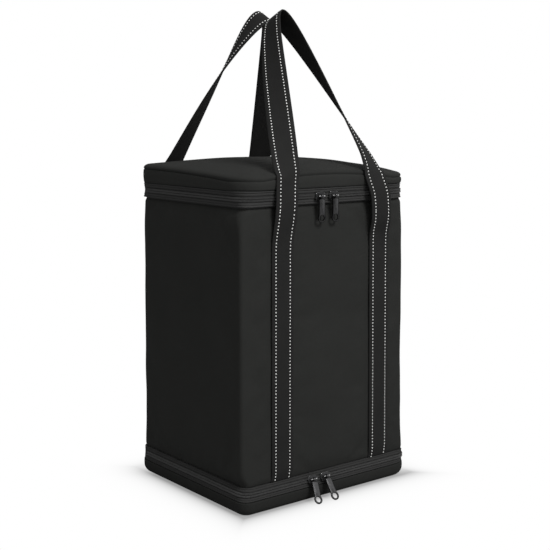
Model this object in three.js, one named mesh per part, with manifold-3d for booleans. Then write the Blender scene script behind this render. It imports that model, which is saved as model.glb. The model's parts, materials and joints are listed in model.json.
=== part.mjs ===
// Insulated bottle bag: a padded fabric body, a zip-round lid, a zip-round base and two webbing handles.
// Millimetres, +Z up, front towards -Y, the floor at z = 0.
import * as THREE from 'three';
import { mergeVertices } from 'three/addons/utils/BufferGeometryUtils.js';
import Module from 'manifold-3d';

const wasm = await Module();
wasm.setup();

// Body
const BODY_WIDTH = 240;
const BODY_DEPTH = 210;
const BODY_HEIGHT = 307;
const BODY_CORNER_RADIUS = 16;
const RIM_CORNER_RADIUS = 24; // lid and base seams, measured at the body's own face
const CORNER_STEPS = 6;

// Layers and clearance
const FABRIC = 1.2;
const FOAM = 8;
const LINING = 0.8;
const FLOOR_BOARD = 2;
const GAP = 0.3;

// Base compartment
const BASE_WALL_HEIGHT = 15;
const BASE_BAND_HEIGHT = 15;
const BASE_PROUD = 8; // base wall outside the body's face
const BASE_EDGE_RADIUS = 7;
const BASE_EDGE_STEPS = 4;
const BASE_BOARD = 2.5;

// Lid
const LID_BAND_HEIGHT = 18;
const LID_WALL_HEIGHT = 13;
const LID_PROUD = 4; // lid wall outside the body's face
const LID_FLANGE = 6; // fabric turned in under the lid wall
const LID_CROWN = 16;
const LID_CROWN_POWER = 2.2;
const LID_CROWN_SCALES = [1, 0.96, 0.9, 0.8, 0.65, 0.45, 0.2];

// Zips
const TAPE = 0.7;
const TAPE_PROUD = 1.2; // tape's middle outside the body's face
const SEAM_ALLOWANCE = 5; // tape turned in at its seam
const COIL_HEIGHT = 2.6;
const COIL_THICKNESS = 1.8;
const CHAIN_GAP = 1.2; // between the two coils

// Zip sliders and pulls
const SLIDER_LENGTH = 13;
const SLIDER_HEIGHT = 9;
const SLIDER_CORNER = 3;
const SLIDER_PLATE = 1.1;
const NECK_LENGTH = 3;
const BRIDGE_SPAN = 7;
const BRIDGE_RADIUS = 0.7;
const EYE_RADIUS = 1.7;
const EYE_WALL = 0.8;
const EYE_LENGTH = 2.4;
const EYE_SEAT = 0.4; // eye's clearance where it hangs on the bridge
const PULL_LENGTH = 29.5; // from the bridge to the tip
const PULL_WIDTH = 8.4;
const PULL_THICKNESS = 1.4;
const PULL_SHOULDER = 3.6; // from the bridge to the full width
const PULL_END_RADIUS = 5.2;
const PULL_HOLE_RADIUS = 3.5;
const BASE_PULL_SWING = 13; // degrees, the left base pull lies askew
const LID_SLIDERS = { left: -19, right: 1 };
const BASE_SLIDERS = { left: -30, right: -11 };

// Webbing
const STRAP_WIDTH = 30;
const STRAP_THICKNESS = 1.8;
const STRAP_SPACING = 143; // between the middles of a pair
const STRAP_FREE_LENGTH = 40; // from the sewn end up to the top of the body
const STRAP_STANDOFF = 11.6; // strap's middle off the body's face, beside the lid's zip
const STRAP_LIFT = 11; // height in which the strap leaves the face
const LEG_STEPS = 12;
const HANDLE_ROOT_PROUD = 5.4; // strap's middle off the body's face, where it folds over the lid
const HANDLE_ROOT_HEIGHT = 1; // fold above the lid's top seam
const HANDLE_GAP = 1; // between the two handles where they meet
const HANDLE_SHIFT = 8.5; // both handles meet this far behind the bag's middle
const HANDLE_STEPS = 40;
const HANDLE_SQUARE = 0.15; // share of the leg that turns from upright to the slope

// Each handle: its legs at the fold, from the bag's middle; the lean of its top to the right; its rise from the fold;
// the softness of its bend as a share of the legs' reach; the strap's slope across its width at the top, in degrees;
// and its quarter turn, with the share made low on the leg and the power of that share
const FRONT_ROOTS = { left: 65.75, right: 65.75 };
const FRONT_LEAN = 0;
const FRONT_RISE = 179;
const FRONT_ROUNDING = 0.33;
const FRONT_TILT = 24;
const FRONT_LOW_TURN = 0.8;
const FRONT_TURN_POWER = 0.54;
const BACK_ROOTS = { left: 72, right: 62.5 };
const BACK_LEAN = 6.7;
const BACK_RISE = 180;
const BACK_ROUNDING = 0.61;
const BACK_TILT = 29;
const BACK_LOW_TURN = 0.43;
const BACK_TURN_POWER = 0.39;

// Bottle divider
const DIVIDER_HEIGHT = 190;
const DIVIDER_THICKNESS = 4;
const DIVIDER_CLEARANCE = 1.5;

// Levels
const baseSeamZ = BASE_WALL_HEIGHT;
const bodyBottomZ = baseSeamZ + BASE_BAND_HEIGHT;
const bodyTopZ = bodyBottomZ + BODY_HEIGHT;
const lidWallZ = bodyTopZ + LID_BAND_HEIGHT;
const lidSeamZ = lidWallZ + LID_WALL_HEIGHT;
const boardFootZ = bodyBottomZ + FLOOR_BOARD + GAP;
const liningFootZ = boardFootZ + FOAM + GAP;
const liningFloorZ = liningFootZ + LINING;
const mouthZ = bodyTopZ - FABRIC - GAP;
const sewnTopZ = bodyTopZ - STRAP_FREE_LENGTH;

// Layers of the wall, as offsets from the body's face
const foamOuter = -FABRIC - GAP;
const foamInner = foamOuter - FOAM;
const liningOuter = foamInner - GAP;
const liningInner = liningOuter - LINING;

const outerFabric = new THREE.MeshStandardMaterial({ color: 0x2b2b2a, roughness: 0.9 });
const sideFabric = new THREE.MeshStandardMaterial({ color: 0x222222, roughness: 0.9 });
const webbing = new THREE.MeshStandardMaterial({ color: 0x303030, roughness: 0.85 });
const zipTape = new THREE.MeshStandardMaterial({ color: 0x1c1c1c, roughness: 0.85 });
const zipCoil = new THREE.MeshStandardMaterial({ color: 0x151515, roughness: 0.45 });
const zipMetal = new THREE.MeshStandardMaterial({ color: 0x2a2a2c, roughness: 0.35, metalness: 0.8 });
const foamWhite = new THREE.MeshStandardMaterial({ color: 0xe4e4e0, roughness: 0.95 });
const foil = new THREE.MeshStandardMaterial({ color: 0xb9bcc0, roughness: 0.35, metalness: 0.6 });
const boardGrey = new THREE.MeshStandardMaterial({ color: 0x5a5a5a, roughness: 0.7 });

const bag = new THREE.Group();

function piece(name, geometry, material, parent = bag) {
  const mesh = new THREE.Mesh(geometry, material);
  mesh.name = name;
  parent.add(mesh);
  return mesh;
}

// Turns every face outward, by the sign of the volume that the faces enclose.
function facingOut(geometry) {
  const at = geometry.attributes.position;
  const index = geometry.index.array;
  const corner = (slot) => new THREE.Vector3().fromBufferAttribute(at, index[slot]);
  let volume = 0;
  for (let slot = 0; slot < index.length; slot += 3) {
    volume += corner(slot).dot(corner(slot + 1).cross(corner(slot + 2)));
  }
  if (volume < 0) {
    index.reverse();
  }
  return geometry;
}

// Triangles of a flat outline, all turning the way that the outline runs.
function capTriangles(outline) {
  const turn = Math.sign(THREE.ShapeUtils.area(outline));
  return THREE.ShapeUtils.triangulateShape(outline, []).map(([a, b, c]) => {
    const same = Math.sign(THREE.ShapeUtils.area([outline[a], outline[b], outline[c]])) === turn;
    return same ? [a, b, c] : [a, c, b];
  });
}

// Joins rings of equal length into one closed surface. An open run gets a flat cap at each end.
function loft(rings, capOutline) {
  const count = rings[0].length;
  const runs = capOutline ? rings.length - 1 : rings.length;
  const index = [];
  for (let ring = 0; ring < runs; ring += 1) {
    const here = ring * count;
    const next = ((ring + 1) % rings.length) * count;
    for (let k = 0; k < count; k += 1) {
      const far = (k + 1) % count;
      index.push(here + k, next + k, next + far);
      index.push(here + k, next + far, here + far);
    }
  }
  const last = (rings.length - 1) * count;
  for (const [a, b, c] of capOutline ? capTriangles(capOutline) : []) {
    index.push(a, b, c);
    index.push(last + a, last + c, last + b);
  }
  const geometry = new THREE.BufferGeometry();
  const numbers = rings.flat().flatMap((point) => point.toArray());
  geometry.setAttribute('position', new THREE.Float32BufferAttribute(numbers, 3));
  geometry.setIndex(index);
  return facingOut(geometry);
}

// The body's rounded rectangle. A station is a place on it, and an offset moves out from the body's face.
class Outline {
  constructor(radius) {
    this.radius = radius;
  }

  // Corners run anticlockwise: back left, front left, front right, back right.
  corner(turn) {
    const sideX = turn < 2 ? -1 : 1;
    const sideY = turn === 0 || turn === 3 ? 1 : -1;
    const x = sideX * (BODY_WIDTH / 2 - this.radius);
    const y = sideY * (BODY_DEPTH / 2 - this.radius);
    return Array.from({ length: CORNER_STEPS + 1 }, (_, step) => {
      const angle = ((turn + 1 + step / CORNER_STEPS) * Math.PI) / 2;
      return { x, y, outX: Math.cos(angle), outY: Math.sin(angle) };
    });
  }

  round() {
    return [0, 1, 2, 3].flatMap((turn) => this.corner(turn));
  }

  // Three sides, from just before the back left corner round the front to the back right one.
  frontRun() {
    const first = this.corner(0).at(-1);
    const last = this.corner(3)[0];
    return [
      { ...first, y: first.y - GAP },
      ...this.corner(1),
      ...this.corner(2),
      { ...last, y: last.y - GAP },
    ];
  }

  backRun() {
    return [...this.corner(3), ...this.corner(0)];
  }

  point({ x, y, outX, outY }, offset, z) {
    const reach = this.radius + offset;
    return new THREE.Vector3(x + outX * reach, y + outY * reach, z);
  }

  ring(offset, z, scale = 1) {
    return this.round().map((station) => {
      const point = this.point(station, offset, z);
      return new THREE.Vector3(point.x * scale, point.y * scale, z);
    });
  }

  // A solid of stacked rings, each given as [offset, z, scale].
  stack(levels) {
    const rings = levels.map(([offset, z, scale]) => this.ring(offset, z, scale));
    return loft(rings, rings[0].map(({ x, y }) => new THREE.Vector2(x, y)));
  }

  // A profile of [offset, z] points carried along stations, or all the way round.
  sweep(profile, stations) {
    const rings = (stations ?? this.round()).map((station) =>
      profile.map(([offset, z]) => this.point(station, offset, z)));
    return loft(rings, stations ? profile.map(([a, b]) => new THREE.Vector2(a, b)) : null);
  }
}

const bodyOutline = new Outline(BODY_CORNER_RADIUS);
const rimOutline = new Outline(RIM_CORNER_RADIUS);

function rectangle(offsetLow, offsetHigh, low, high) {
  return [[offsetLow, low], [offsetHigh, low], [offsetHigh, high], [offsetLow, high]];
}

function toSolid(geometry) {
  const bare = geometry.clone();
  bare.deleteAttribute('normal');
  bare.deleteAttribute('uv');
  const merged = mergeVertices(bare);
  return new wasm.Manifold(new wasm.Mesh({
    numProp: 3,
    vertProperties: Float32Array.from(merged.attributes.position.array),
    triVerts: Uint32Array.from(merged.index.array),
  }));
}

function joined(geometries) {
  const { vertProperties, triVerts } = geometries.map(toSolid).reduce((all, next) => all.add(next)).getMesh();
  const geometry = new THREE.BufferGeometry();
  geometry.setAttribute('position', new THREE.BufferAttribute(vertProperties, 3));
  geometry.setIndex(new THREE.BufferAttribute(triVerts, 1));
  return geometry;
}

// A zip band between two seams: the profiles of both tapes and coils, and the middle of the chain.
function zipBand(foot, head) {
  const up = head.clone().sub(foot).normalize();
  const out = new THREE.Vector2(up.y, -up.x);
  const middle = foot.clone().add(head).multiplyScalar(0.5);
  const at = (along, proud) => middle.clone().addScaledVector(up, along).addScaledVector(out, proud).toArray();
  const skin = TAPE / 2;
  const level = skin / out.x;
  const drift = (out.y / out.x) * TAPE;
  const tape = (seam, side) => [
    at((side * CHAIN_GAP) / 2, skin),
    [seam.x + level, seam.y],
    [seam.x - SEAM_ALLOWANCE, seam.y],
    [seam.x - SEAM_ALLOWANCE, seam.y - side * TAPE],
    [seam.x - level + side * drift, seam.y - side * TAPE],
    at((side * CHAIN_GAP) / 2, -skin),
  ];
  const coil = (side) => {
    const near = (side * CHAIN_GAP) / 2;
    const far = near + side * COIL_HEIGHT;
    const back = skin + GAP;
    const front = back + COIL_THICKNESS;
    return [at(near, back), at(near, front), at(far, front), at(far, back)];
  };
  return {
    middle,
    out,
    tilt: Math.atan2(out.y, out.x),
    lower: { tape: tape(foot, -1), coil: coil(-1) },
    upper: { tape: tape(head, 1), coil: coil(1) },
  };
}

const lidZip = zipBand(
  new THREE.Vector2(TAPE_PROUD, bodyTopZ + GAP),
  new THREE.Vector2(TAPE_PROUD, lidWallZ - GAP),
);
const baseZip = zipBand(
  new THREE.Vector2(BASE_PROUD - FABRIC, baseSeamZ + GAP),
  new THREE.Vector2(TAPE_PROUD, bodyBottomZ - GAP),
);

function addZipHalf(label, hingeName, half) {
  piece(`${label}_tape`, rimOutline.sweep(half.tape, rimOutline.frontRun()), zipTape);
  piece(`${label}_coil`, rimOutline.sweep(half.coil, rimOutline.frontRun()), zipCoil);
  piece(hingeName, rimOutline.sweep(half.tape, rimOutline.backRun()), outerFabric);
}

// Body: the outer wall, its foam boards, the lining and the floor
function foamBoard() {
  const halfWidth = BODY_WIDTH / 2 + foamOuter;
  const halfDepth = BODY_DEPTH / 2 + foamOuter;
  const radius = BODY_CORNER_RADIUS + foamOuter;
  const arcTop = Math.asin(Math.max(0, 1 - FOAM / radius));
  const innerY = FOAM - halfDepth;
  const shape = new THREE.Shape();
  shape.absarc(halfWidth - radius, radius - halfDepth, radius, -arcTop, -Math.PI / 2, true);
  shape.absarc(radius - halfWidth, radius - halfDepth, radius, -Math.PI / 2, arcTop - Math.PI, true);
  if (FOAM > radius) {
    shape.lineTo(-halfWidth, innerY);
    shape.lineTo(halfWidth, innerY);
  }
  const board = new THREE.ExtrudeGeometry(shape, {
    depth: mouthZ - boardFootZ,
    bevelEnabled: false,
    curveSegments: CORNER_STEPS,
  });
  return board.translate(0, 0, boardFootZ);
}

function addBody() {
  piece('outer_wall', bodyOutline.sweep(rectangle(-FABRIC, 0, bodyBottomZ, bodyTopZ)), outerFabric);
  piece('front_insulation', foamBoard(), foamWhite);
  piece('back_insulation', foamBoard(), foamWhite).rotation.z = Math.PI;
  const boardHeight = mouthZ - boardFootZ;
  for (const [side, sign] of [['left', -1], ['right', 1]]) {
    const board = new THREE.BoxGeometry(FOAM, BODY_DEPTH - 2 * BODY_CORNER_RADIUS, boardHeight);
    const place = piece(`${side}_insulation`, board, foamWhite).position;
    place.set(sign * (BODY_WIDTH / 2 + foamOuter - FOAM / 2), 0, boardFootZ + boardHeight / 2);
  }
  piece('floor_panel', bodyOutline.stack([
    [foamOuter, bodyBottomZ],
    [foamOuter, bodyBottomZ + FLOOR_BOARD],
  ]), boardGrey);
  piece('floor_insulation', bodyOutline.stack([
    [liningOuter, boardFootZ],
    [liningOuter, boardFootZ + FOAM],
  ]), foamWhite);
  piece('inner_lining', bodyOutline.stack([
    [liningOuter, liningFootZ],
    [liningOuter, mouthZ],
    [liningInner, mouthZ],
    [liningInner, liningFloorZ],
  ]), foil);
  const binding = rectangle(liningInner, foamOuter, bodyTopZ - FABRIC, bodyTopZ);
  piece('mouth_binding', bodyOutline.sweep(binding), sideFabric);
  addZipHalf('lid_zip_lower', 'lid_hinge_strip_lower', lidZip.lower);
  addZipHalf('base_zip_upper', 'base_hinge_strip_upper', baseZip.upper);
}

// Lid: a crowned panel on a short wall, over foam and a lining
function crownZ(scale) {
  return lidSeamZ + LID_CROWN * (1 - scale ** LID_CROWN_POWER);
}

function addLid() {
  const crown = (offset, drop) => LID_CROWN_SCALES.map((scale) => [offset, crownZ(scale) - drop, scale]);
  const outside = crown(LID_PROUD, 0);
  const inside = crown(LID_PROUD, FABRIC);
  piece('lid_top_panel', rimOutline.stack([...outside.reverse(), ...inside]), outerFabric);

  const wallTop = lidSeamZ - FABRIC - GAP;
  const wallInner = LID_PROUD - FABRIC;
  piece('lid_side_wall', rimOutline.sweep([
    [LID_PROUD - LID_FLANGE, lidWallZ],
    [LID_PROUD, lidWallZ],
    [LID_PROUD, wallTop],
    [wallInner, wallTop],
    [wallInner, lidWallZ + FABRIC],
    [LID_PROUD - LID_FLANGE, lidWallZ + FABRIC],
  ]), sideFabric);

  const foamFootZ = lidWallZ + FABRIC + GAP;
  piece('lid_insulation', rimOutline.stack([
    [wallInner - GAP, foamFootZ],
    ...crown(wallInner - GAP, FABRIC + GAP),
  ]), foamWhite);

  const liningTop = lidWallZ - GAP - TAPE - GAP;
  const liningEdge = TAPE_PROUD - TAPE / 2 - GAP;
  piece('lid_lining', rimOutline.stack([
    [liningEdge, liningTop - LINING],
    [liningEdge, liningTop],
  ]), foil);
  addZipHalf('lid_zip_upper', 'lid_hinge_strip_upper', lidZip.upper);
}

// Base: a shallow tray with a rolled bottom edge, a stiff board and its lining
function addBase() {
  const rolled = (radius, edge, floorZ) => Array.from({ length: BASE_EDGE_STEPS + 1 }, (_, step) => {
    const angle = ((step / BASE_EDGE_STEPS) * Math.PI) / 2;
    return [edge - radius + radius * Math.sin(angle), floorZ + radius * (1 - Math.cos(angle))];
  });
  const outside = rolled(BASE_EDGE_RADIUS, BASE_PROUD, 0);
  const inside = rolled(BASE_EDGE_RADIUS - FABRIC, BASE_PROUD - FABRIC, FABRIC);
  piece('base_shell', rimOutline.stack([
    ...outside,
    [BASE_PROUD, baseSeamZ],
    [BASE_PROUD - FABRIC, baseSeamZ],
    ...inside.reverse(),
  ]), sideFabric);

  const boardEdge = BASE_PROUD - BASE_EDGE_RADIUS - GAP;
  const boardZ = FABRIC + GAP;
  const baseLiningZ = boardZ + BASE_BOARD + GAP;
  piece('base_board', rimOutline.stack([[boardEdge, boardZ], [boardEdge, boardZ + BASE_BOARD]]), boardGrey);
  piece('base_lining', rimOutline.stack([[boardEdge, baseLiningZ], [boardEdge, baseLiningZ + LINING]]), sideFabric);
  addZipHalf('base_zip_lower', 'base_hinge_strip_lower', baseZip.lower);
}

// Sliders and pulls, made with x along the zip, y up the band and z outward from the tape's middle
const plateBack = -TAPE / 2 - GAP - SLIDER_PLATE;
const plateFront = TAPE / 2 + GAP + COIL_THICKNESS + GAP;
const bridgeZ = plateFront + SLIDER_PLATE + GAP + EYE_RADIUS + EYE_WALL;

function box(width, height, low, high) {
  return new THREE.BoxGeometry(width, height, high - low).translate(0, 0, (low + high) / 2);
}

function sliderGeometry() {
  const halfLength = SLIDER_LENGTH / 2 - SLIDER_CORNER;
  const halfHeight = SLIDER_HEIGHT / 2 - SLIDER_CORNER;
  const face = new THREE.Shape();
  face.absarc(halfLength, halfHeight, SLIDER_CORNER, 0, Math.PI / 2);
  face.absarc(-halfLength, halfHeight, SLIDER_CORNER, Math.PI / 2, Math.PI);
  face.absarc(-halfLength, -halfHeight, SLIDER_CORNER, Math.PI, 1.5 * Math.PI);
  face.absarc(halfLength, -halfHeight, SLIDER_CORNER, 1.5 * Math.PI, 2 * Math.PI);
  const plate = (z) => new THREE.ExtrudeGeometry(face, {
    depth: SLIDER_PLATE,
    bevelEnabled: false,
    curveSegments: CORNER_STEPS,
  }).translate(0, 0, z);
  const thickness = 2 * BRIDGE_RADIUS;
  const post = (side) => box(thickness, thickness, plateFront + SLIDER_PLATE / 2, bridgeZ)
    .translate((side * BRIDGE_SPAN) / 2, 0, 0);
  const bar = new THREE.CylinderGeometry(BRIDGE_RADIUS, BRIDGE_RADIUS, BRIDGE_SPAN + thickness, 12)
    .rotateZ(Math.PI / 2)
    .translate(0, 0, bridgeZ);
  const neckLow = plateBack + SLIDER_PLATE / 2;
  const neck = box(NECK_LENGTH, CHAIN_GAP - 2 * GAP, neckLow, plateFront + SLIDER_PLATE / 2)
    .translate(SLIDER_LENGTH / 2 - NECK_LENGTH, 0, 0);
  return joined([plate(plateBack), plate(plateFront), neck, post(-1), post(1), bar]);
}

function pullGeometry() {
  const eyeY = -(EYE_RADIUS - BRIDGE_RADIUS - EYE_SEAT);
  const outer = EYE_RADIUS + EYE_WALL;
  const ring = new THREE.Shape().absarc(0, 0, outer, 0, 2 * Math.PI);
  ring.holes.push(new THREE.Path().absarc(0, 0, EYE_RADIUS, 0, 2 * Math.PI, true));
  const eye = new THREE.ExtrudeGeometry(ring, { depth: EYE_LENGTH, bevelEnabled: false, curveSegments: 10 })
    .translate(0, 0, -EYE_LENGTH / 2)
    .rotateY(Math.PI / 2)
    .translate(0, eyeY, 0);

  const half = PULL_WIDTH / 2;
  const tipY = PULL_END_RADIUS - PULL_LENGTH;
  const topY = eyeY - EYE_RADIUS - EYE_WALL / 2;
  const meet = Math.acos(half / PULL_END_RADIUS);
  const blade = new THREE.Shape();
  blade.moveTo(EYE_LENGTH / 2, topY);
  blade.lineTo(-EYE_LENGTH / 2, topY);
  blade.lineTo(-half, -PULL_SHOULDER);
  blade.absarc(0, tipY, PULL_END_RADIUS, Math.PI - meet, 2 * Math.PI + meet);
  blade.lineTo(half, -PULL_SHOULDER);
  blade.holes.push(new THREE.Path().absarc(0, tipY, PULL_HOLE_RADIUS, 0, 2 * Math.PI, true));
  const plate = new THREE.ExtrudeGeometry(blade, { depth: PULL_THICKNESS, bevelEnabled: false, curveSegments: 10 })
    .translate(0, 0, -PULL_THICKNESS / 2);
  return joined([eye, plate]);
}

// A slider on a zip's front run, and its pull on the slider's bridge
function addSlider(label, zip, x, pullLean, pullSwing) {
  const onZip = new THREE.Group();
  onZip.position.set(x, -BODY_DEPTH / 2 - zip.middle.x, zip.middle.y);
  onZip.rotation.x = Math.PI / 2 - zip.tilt;
  bag.add(onZip);
  piece(`${label}_slider`, sliderGeometry(), zipMetal, onZip);

  const hanging = new THREE.Group();
  hanging.position.set(0, 0, bridgeZ);
  hanging.rotation.x = zip.tilt - pullLean;
  onZip.add(hanging);
  piece(`${label}_pull`, pullGeometry(), zipMetal, hanging).rotation.z = -pullSwing;
}

function addSliders() {
  const bridgeHeight = baseZip.middle.y + bridgeZ * Math.sin(baseZip.tilt);
  const drop = (bridgeHeight - PULL_THICKNESS / 2 - GAP) / PULL_LENGTH;
  const baseLean = Math.acos(Math.min(1, drop));
  const swing = THREE.MathUtils.degToRad(BASE_PULL_SWING);
  for (const side of ['left', 'right']) {
    addSlider(`lid_${side}`, lidZip, LID_SLIDERS[side], 0, 0);
    addSlider(`base_${side}`, baseZip, BASE_SLIDERS[side], baseLean, side === 'left' ? swing : 0);
  }
}

// Webbing: a flat strap through sections of a middle point, a width direction and a thickness direction
function ribbon(sections) {
  const corners = [[-1, -1], [1, -1], [1, 1], [-1, 1]];
  const rings = sections.map(({ middle, across, through }) => corners.map(([a, t]) => middle.clone()
    .addScaledVector(across, (a * STRAP_WIDTH) / 2)
    .addScaledVector(through, (t * STRAP_THICKNESS) / 2)));
  return loft(rings, corners.map(([a, t]) => new THREE.Vector2(a, t)));
}

const strapMiddle = GAP + STRAP_THICKNESS / 2;
const rootZ = lidSeamZ + HANDLE_ROOT_HEIGHT;
const rootReach = BODY_DEPTH / 2 + HANDLE_ROOT_PROUD;
const handles = [
  {
    end: 'front',
    facing: -1,
    roots: FRONT_ROOTS,
    lean: FRONT_LEAN,
    rise: FRONT_RISE,
    rounding: FRONT_ROUNDING,
    tilt: THREE.MathUtils.degToRad(FRONT_TILT),
    lowTurn: FRONT_LOW_TURN,
    turnPower: FRONT_TURN_POWER,
  },
  {
    end: 'back',
    facing: 1,
    roots: BACK_ROOTS,
    lean: BACK_LEAN,
    rise: BACK_RISE,
    rounding: BACK_ROUNDING,
    tilt: THREE.MathUtils.degToRad(BACK_TILT),
    lowTurn: BACK_LOW_TURN,
    turnPower: BACK_TURN_POWER,
  },
];

// The line that a handle leans along, from its fold to its top. Facing is -1 at the front and 1 at the back.
function handleLine({ facing, rise, tilt }) {
  const rootY = facing * rootReach;
  const apexReach = (STRAP_WIDTH * Math.cos(tilt) + STRAP_THICKNESS + HANDLE_GAP) / 2;
  const apexY = facing * apexReach + HANDLE_SHIFT;
  const slope = new THREE.Vector2(apexY - rootY, rise).normalize();
  return { rootY, apexY, slope };
}

// The free stretch beside the lid, from the sewn end to the fold
function legGeometry(side, handle) {
  const { facing, roots } = handle;
  const root = side < 0 ? roots.left : roots.right;
  const { rootY, slope } = handleLine(handle);
  const footZ = sewnTopZ + GAP;
  const at = (proud, z) => new THREE.Vector2(facing * (BODY_DEPTH / 2 + proud), z);
  const end = new THREE.Vector2(rootY, rootZ).addScaledVector(slope, -GAP);
  const profile = new THREE.SplineCurve([
    at(strapMiddle, footZ),
    at((strapMiddle + 2 * STRAP_STANDOFF) / 3, footZ + STRAP_LIFT),
    at(STRAP_STANDOFF, bodyTopZ - STRAP_LIFT),
    at(STRAP_STANDOFF, lidZip.middle.y),
    end,
  ]);
  const sections = profile.getPoints(LEG_STEPS).map((point, step) => {
    const along = profile.getTangent(step / LEG_STEPS);
    if (step === 0) {
      along.set(0, 1);
    }
    if (step === LEG_STEPS) {
      along.copy(slope);
    }
    const share = (point.y - footZ) / (end.y - footZ);
    const reach = THREE.MathUtils.lerp(STRAP_SPACING / 2, root, share ** 2);
    return {
      middle: new THREE.Vector3(side * reach, point.x, point.y),
      across: new THREE.Vector3(1, 0, 0),
      through: new THREE.Vector3(0, along.y, -along.x),
    };
  });
  return ribbon(sections);
}

// The loop over the lid: its legs slope to a rounded top and make a quarter turn on the way up.
function loopGeometry(handle) {
  const { facing, roots, lean, rise, rounding, tilt, lowTurn, turnPower } = handle;
  const { rootY, apexY, slope } = handleLine(handle);
  const softness = (u) => Math.hypot(u, rounding) - rounding;
  const climb = (u) => 1 - softness(u) / softness(1);
  const route = (u) => new THREE.Vector3(
    u * (u < 0 ? roots.left : roots.right) + climb(u) * lean,
    THREE.MathUtils.lerp(rootY, apexY, climb(u)),
    rootZ + climb(u) * rise,
  );
  const nudge = 1e-3;
  const inward = new THREE.Vector3(0, -facing * Math.cos(tilt), -Math.sin(tilt));
  const sections = Array.from({ length: HANDLE_STEPS + 1 }, (_, step) => {
    const u = (2 * step) / HANDLE_STEPS - 1;
    const along = route(Math.min(1, u + nudge)).sub(route(Math.max(-1, u - nudge))).normalize();
    const turned = (Math.PI / 2) * (lowTurn * climb(u) ** turnPower + (1 - lowTurn) * climb(u) ** 3);
    const side = u < 0 ? -1 : 1;
    const flat = new THREE.Vector3(side * Math.cos(turned), 0, 0).addScaledVector(inward, Math.sin(turned));
    const square = flat.clone().addScaledVector(along, -flat.dot(along)).normalize();
    const settled = THREE.MathUtils.smoothstep(1 - Math.abs(u), 0, HANDLE_SQUARE);
    const across = flat.lerp(square, settled).normalize();
    const upright = new THREE.Vector3(0, -side * slope.x, -side * slope.y);
    const through = upright.lerp(along, settled).cross(across).normalize();
    return { middle: route(u), across, through };
  });
  return ribbon(sections);
}

function addHandles() {
  for (const handle of handles) {
    const { end, facing } = handle;
    for (const [label, side] of [['left', -1], ['right', 1]]) {
      const run = new THREE.BoxGeometry(STRAP_WIDTH, STRAP_THICKNESS, sewnTopZ - bodyBottomZ);
      const place = piece(`${end}_${label}_strap`, run, webbing).position;
      place.set((side * STRAP_SPACING) / 2, facing * (BODY_DEPTH / 2 + strapMiddle), (sewnTopZ + bodyBottomZ) / 2);
      piece(`${end}_handle_${label}_leg`, legGeometry(side, handle), webbing);
    }
    piece(`${end}_handle_loop`, loopGeometry(handle), webbing);
  }
}

// Divider: two padded panels that slot into each other and lift out
function dividerPanel(length, notchFromTop) {
  const half = length / 2 + liningInner - DIVIDER_CLEARANCE;
  const notch = DIVIDER_THICKNESS / 2 + GAP;
  const bottom = liningFloorZ + GAP;
  const top = bottom + DIVIDER_HEIGHT;
  const notchEnd = (bottom + top) / 2 + (notchFromTop ? -GAP / 2 : GAP / 2);
  const [near, far] = notchFromTop ? [top, bottom] : [bottom, top];
  const panel = new THREE.Shape();
  panel.moveTo(-half, near);
  panel.lineTo(-notch, near);
  panel.lineTo(-notch, notchEnd);
  panel.lineTo(notch, notchEnd);
  panel.lineTo(notch, near);
  panel.lineTo(half, near);
  panel.lineTo(half, far);
  panel.lineTo(-half, far);
  return new THREE.ExtrudeGeometry(panel, { depth: DIVIDER_THICKNESS, bevelEnabled: false })
    .translate(0, 0, -DIVIDER_THICKNESS / 2)
    .rotateX(Math.PI / 2);
}

function addDivider() {
  piece('divider_long_panel', dividerPanel(BODY_WIDTH, true), sideFabric);
  piece('divider_cross_panel', dividerPanel(BODY_DEPTH, false), sideFabric).rotation.z = Math.PI / 2;
}

addBody();
addLid();
addBase();
addSliders();
addHandles();
addDivider();

export default bag;
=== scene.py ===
# %% [markdown]
# # Dressing a bottle cooler bag
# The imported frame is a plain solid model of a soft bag: a padded body, a lid and a base that zip round
# it, and webbing handles. In this lesson each solid that is really cloth gets its cloth: a flat grid is
# cut, bent into place and given thickness, and the body is blown out a little with Blender's own cloth.
# Of the hard pieces, the zip sliders keep the frame's shape and gain worked edges, and the pulls are
# stamped anew to the same size.

# %% Load the frame
import json
import math

import bpy
import numpy as np
from mathutils import Matrix, Vector, noise


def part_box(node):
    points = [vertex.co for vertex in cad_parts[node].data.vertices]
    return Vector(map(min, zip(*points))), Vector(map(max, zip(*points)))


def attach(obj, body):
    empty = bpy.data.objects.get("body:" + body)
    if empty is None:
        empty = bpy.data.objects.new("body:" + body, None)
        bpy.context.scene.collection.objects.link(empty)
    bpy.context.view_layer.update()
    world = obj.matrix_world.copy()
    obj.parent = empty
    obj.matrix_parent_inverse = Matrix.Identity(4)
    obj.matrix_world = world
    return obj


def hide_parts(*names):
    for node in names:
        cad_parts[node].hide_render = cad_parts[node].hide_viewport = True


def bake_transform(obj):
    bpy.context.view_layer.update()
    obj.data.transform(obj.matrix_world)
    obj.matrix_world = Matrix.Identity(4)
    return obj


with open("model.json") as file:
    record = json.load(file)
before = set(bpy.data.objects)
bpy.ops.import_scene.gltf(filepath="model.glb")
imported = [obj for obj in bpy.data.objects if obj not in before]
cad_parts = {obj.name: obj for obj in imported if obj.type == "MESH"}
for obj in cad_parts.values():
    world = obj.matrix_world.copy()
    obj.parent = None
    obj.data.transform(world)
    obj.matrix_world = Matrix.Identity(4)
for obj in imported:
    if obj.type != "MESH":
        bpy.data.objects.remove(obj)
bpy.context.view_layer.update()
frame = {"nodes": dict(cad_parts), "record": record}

# %% [markdown]
# ## Sizes
# Every length below is read off the frame, so the cloth lies where the solids are. The few sizes that a
# box can't tell, such as a corner's radius, are written once, in millimetres.

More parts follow.
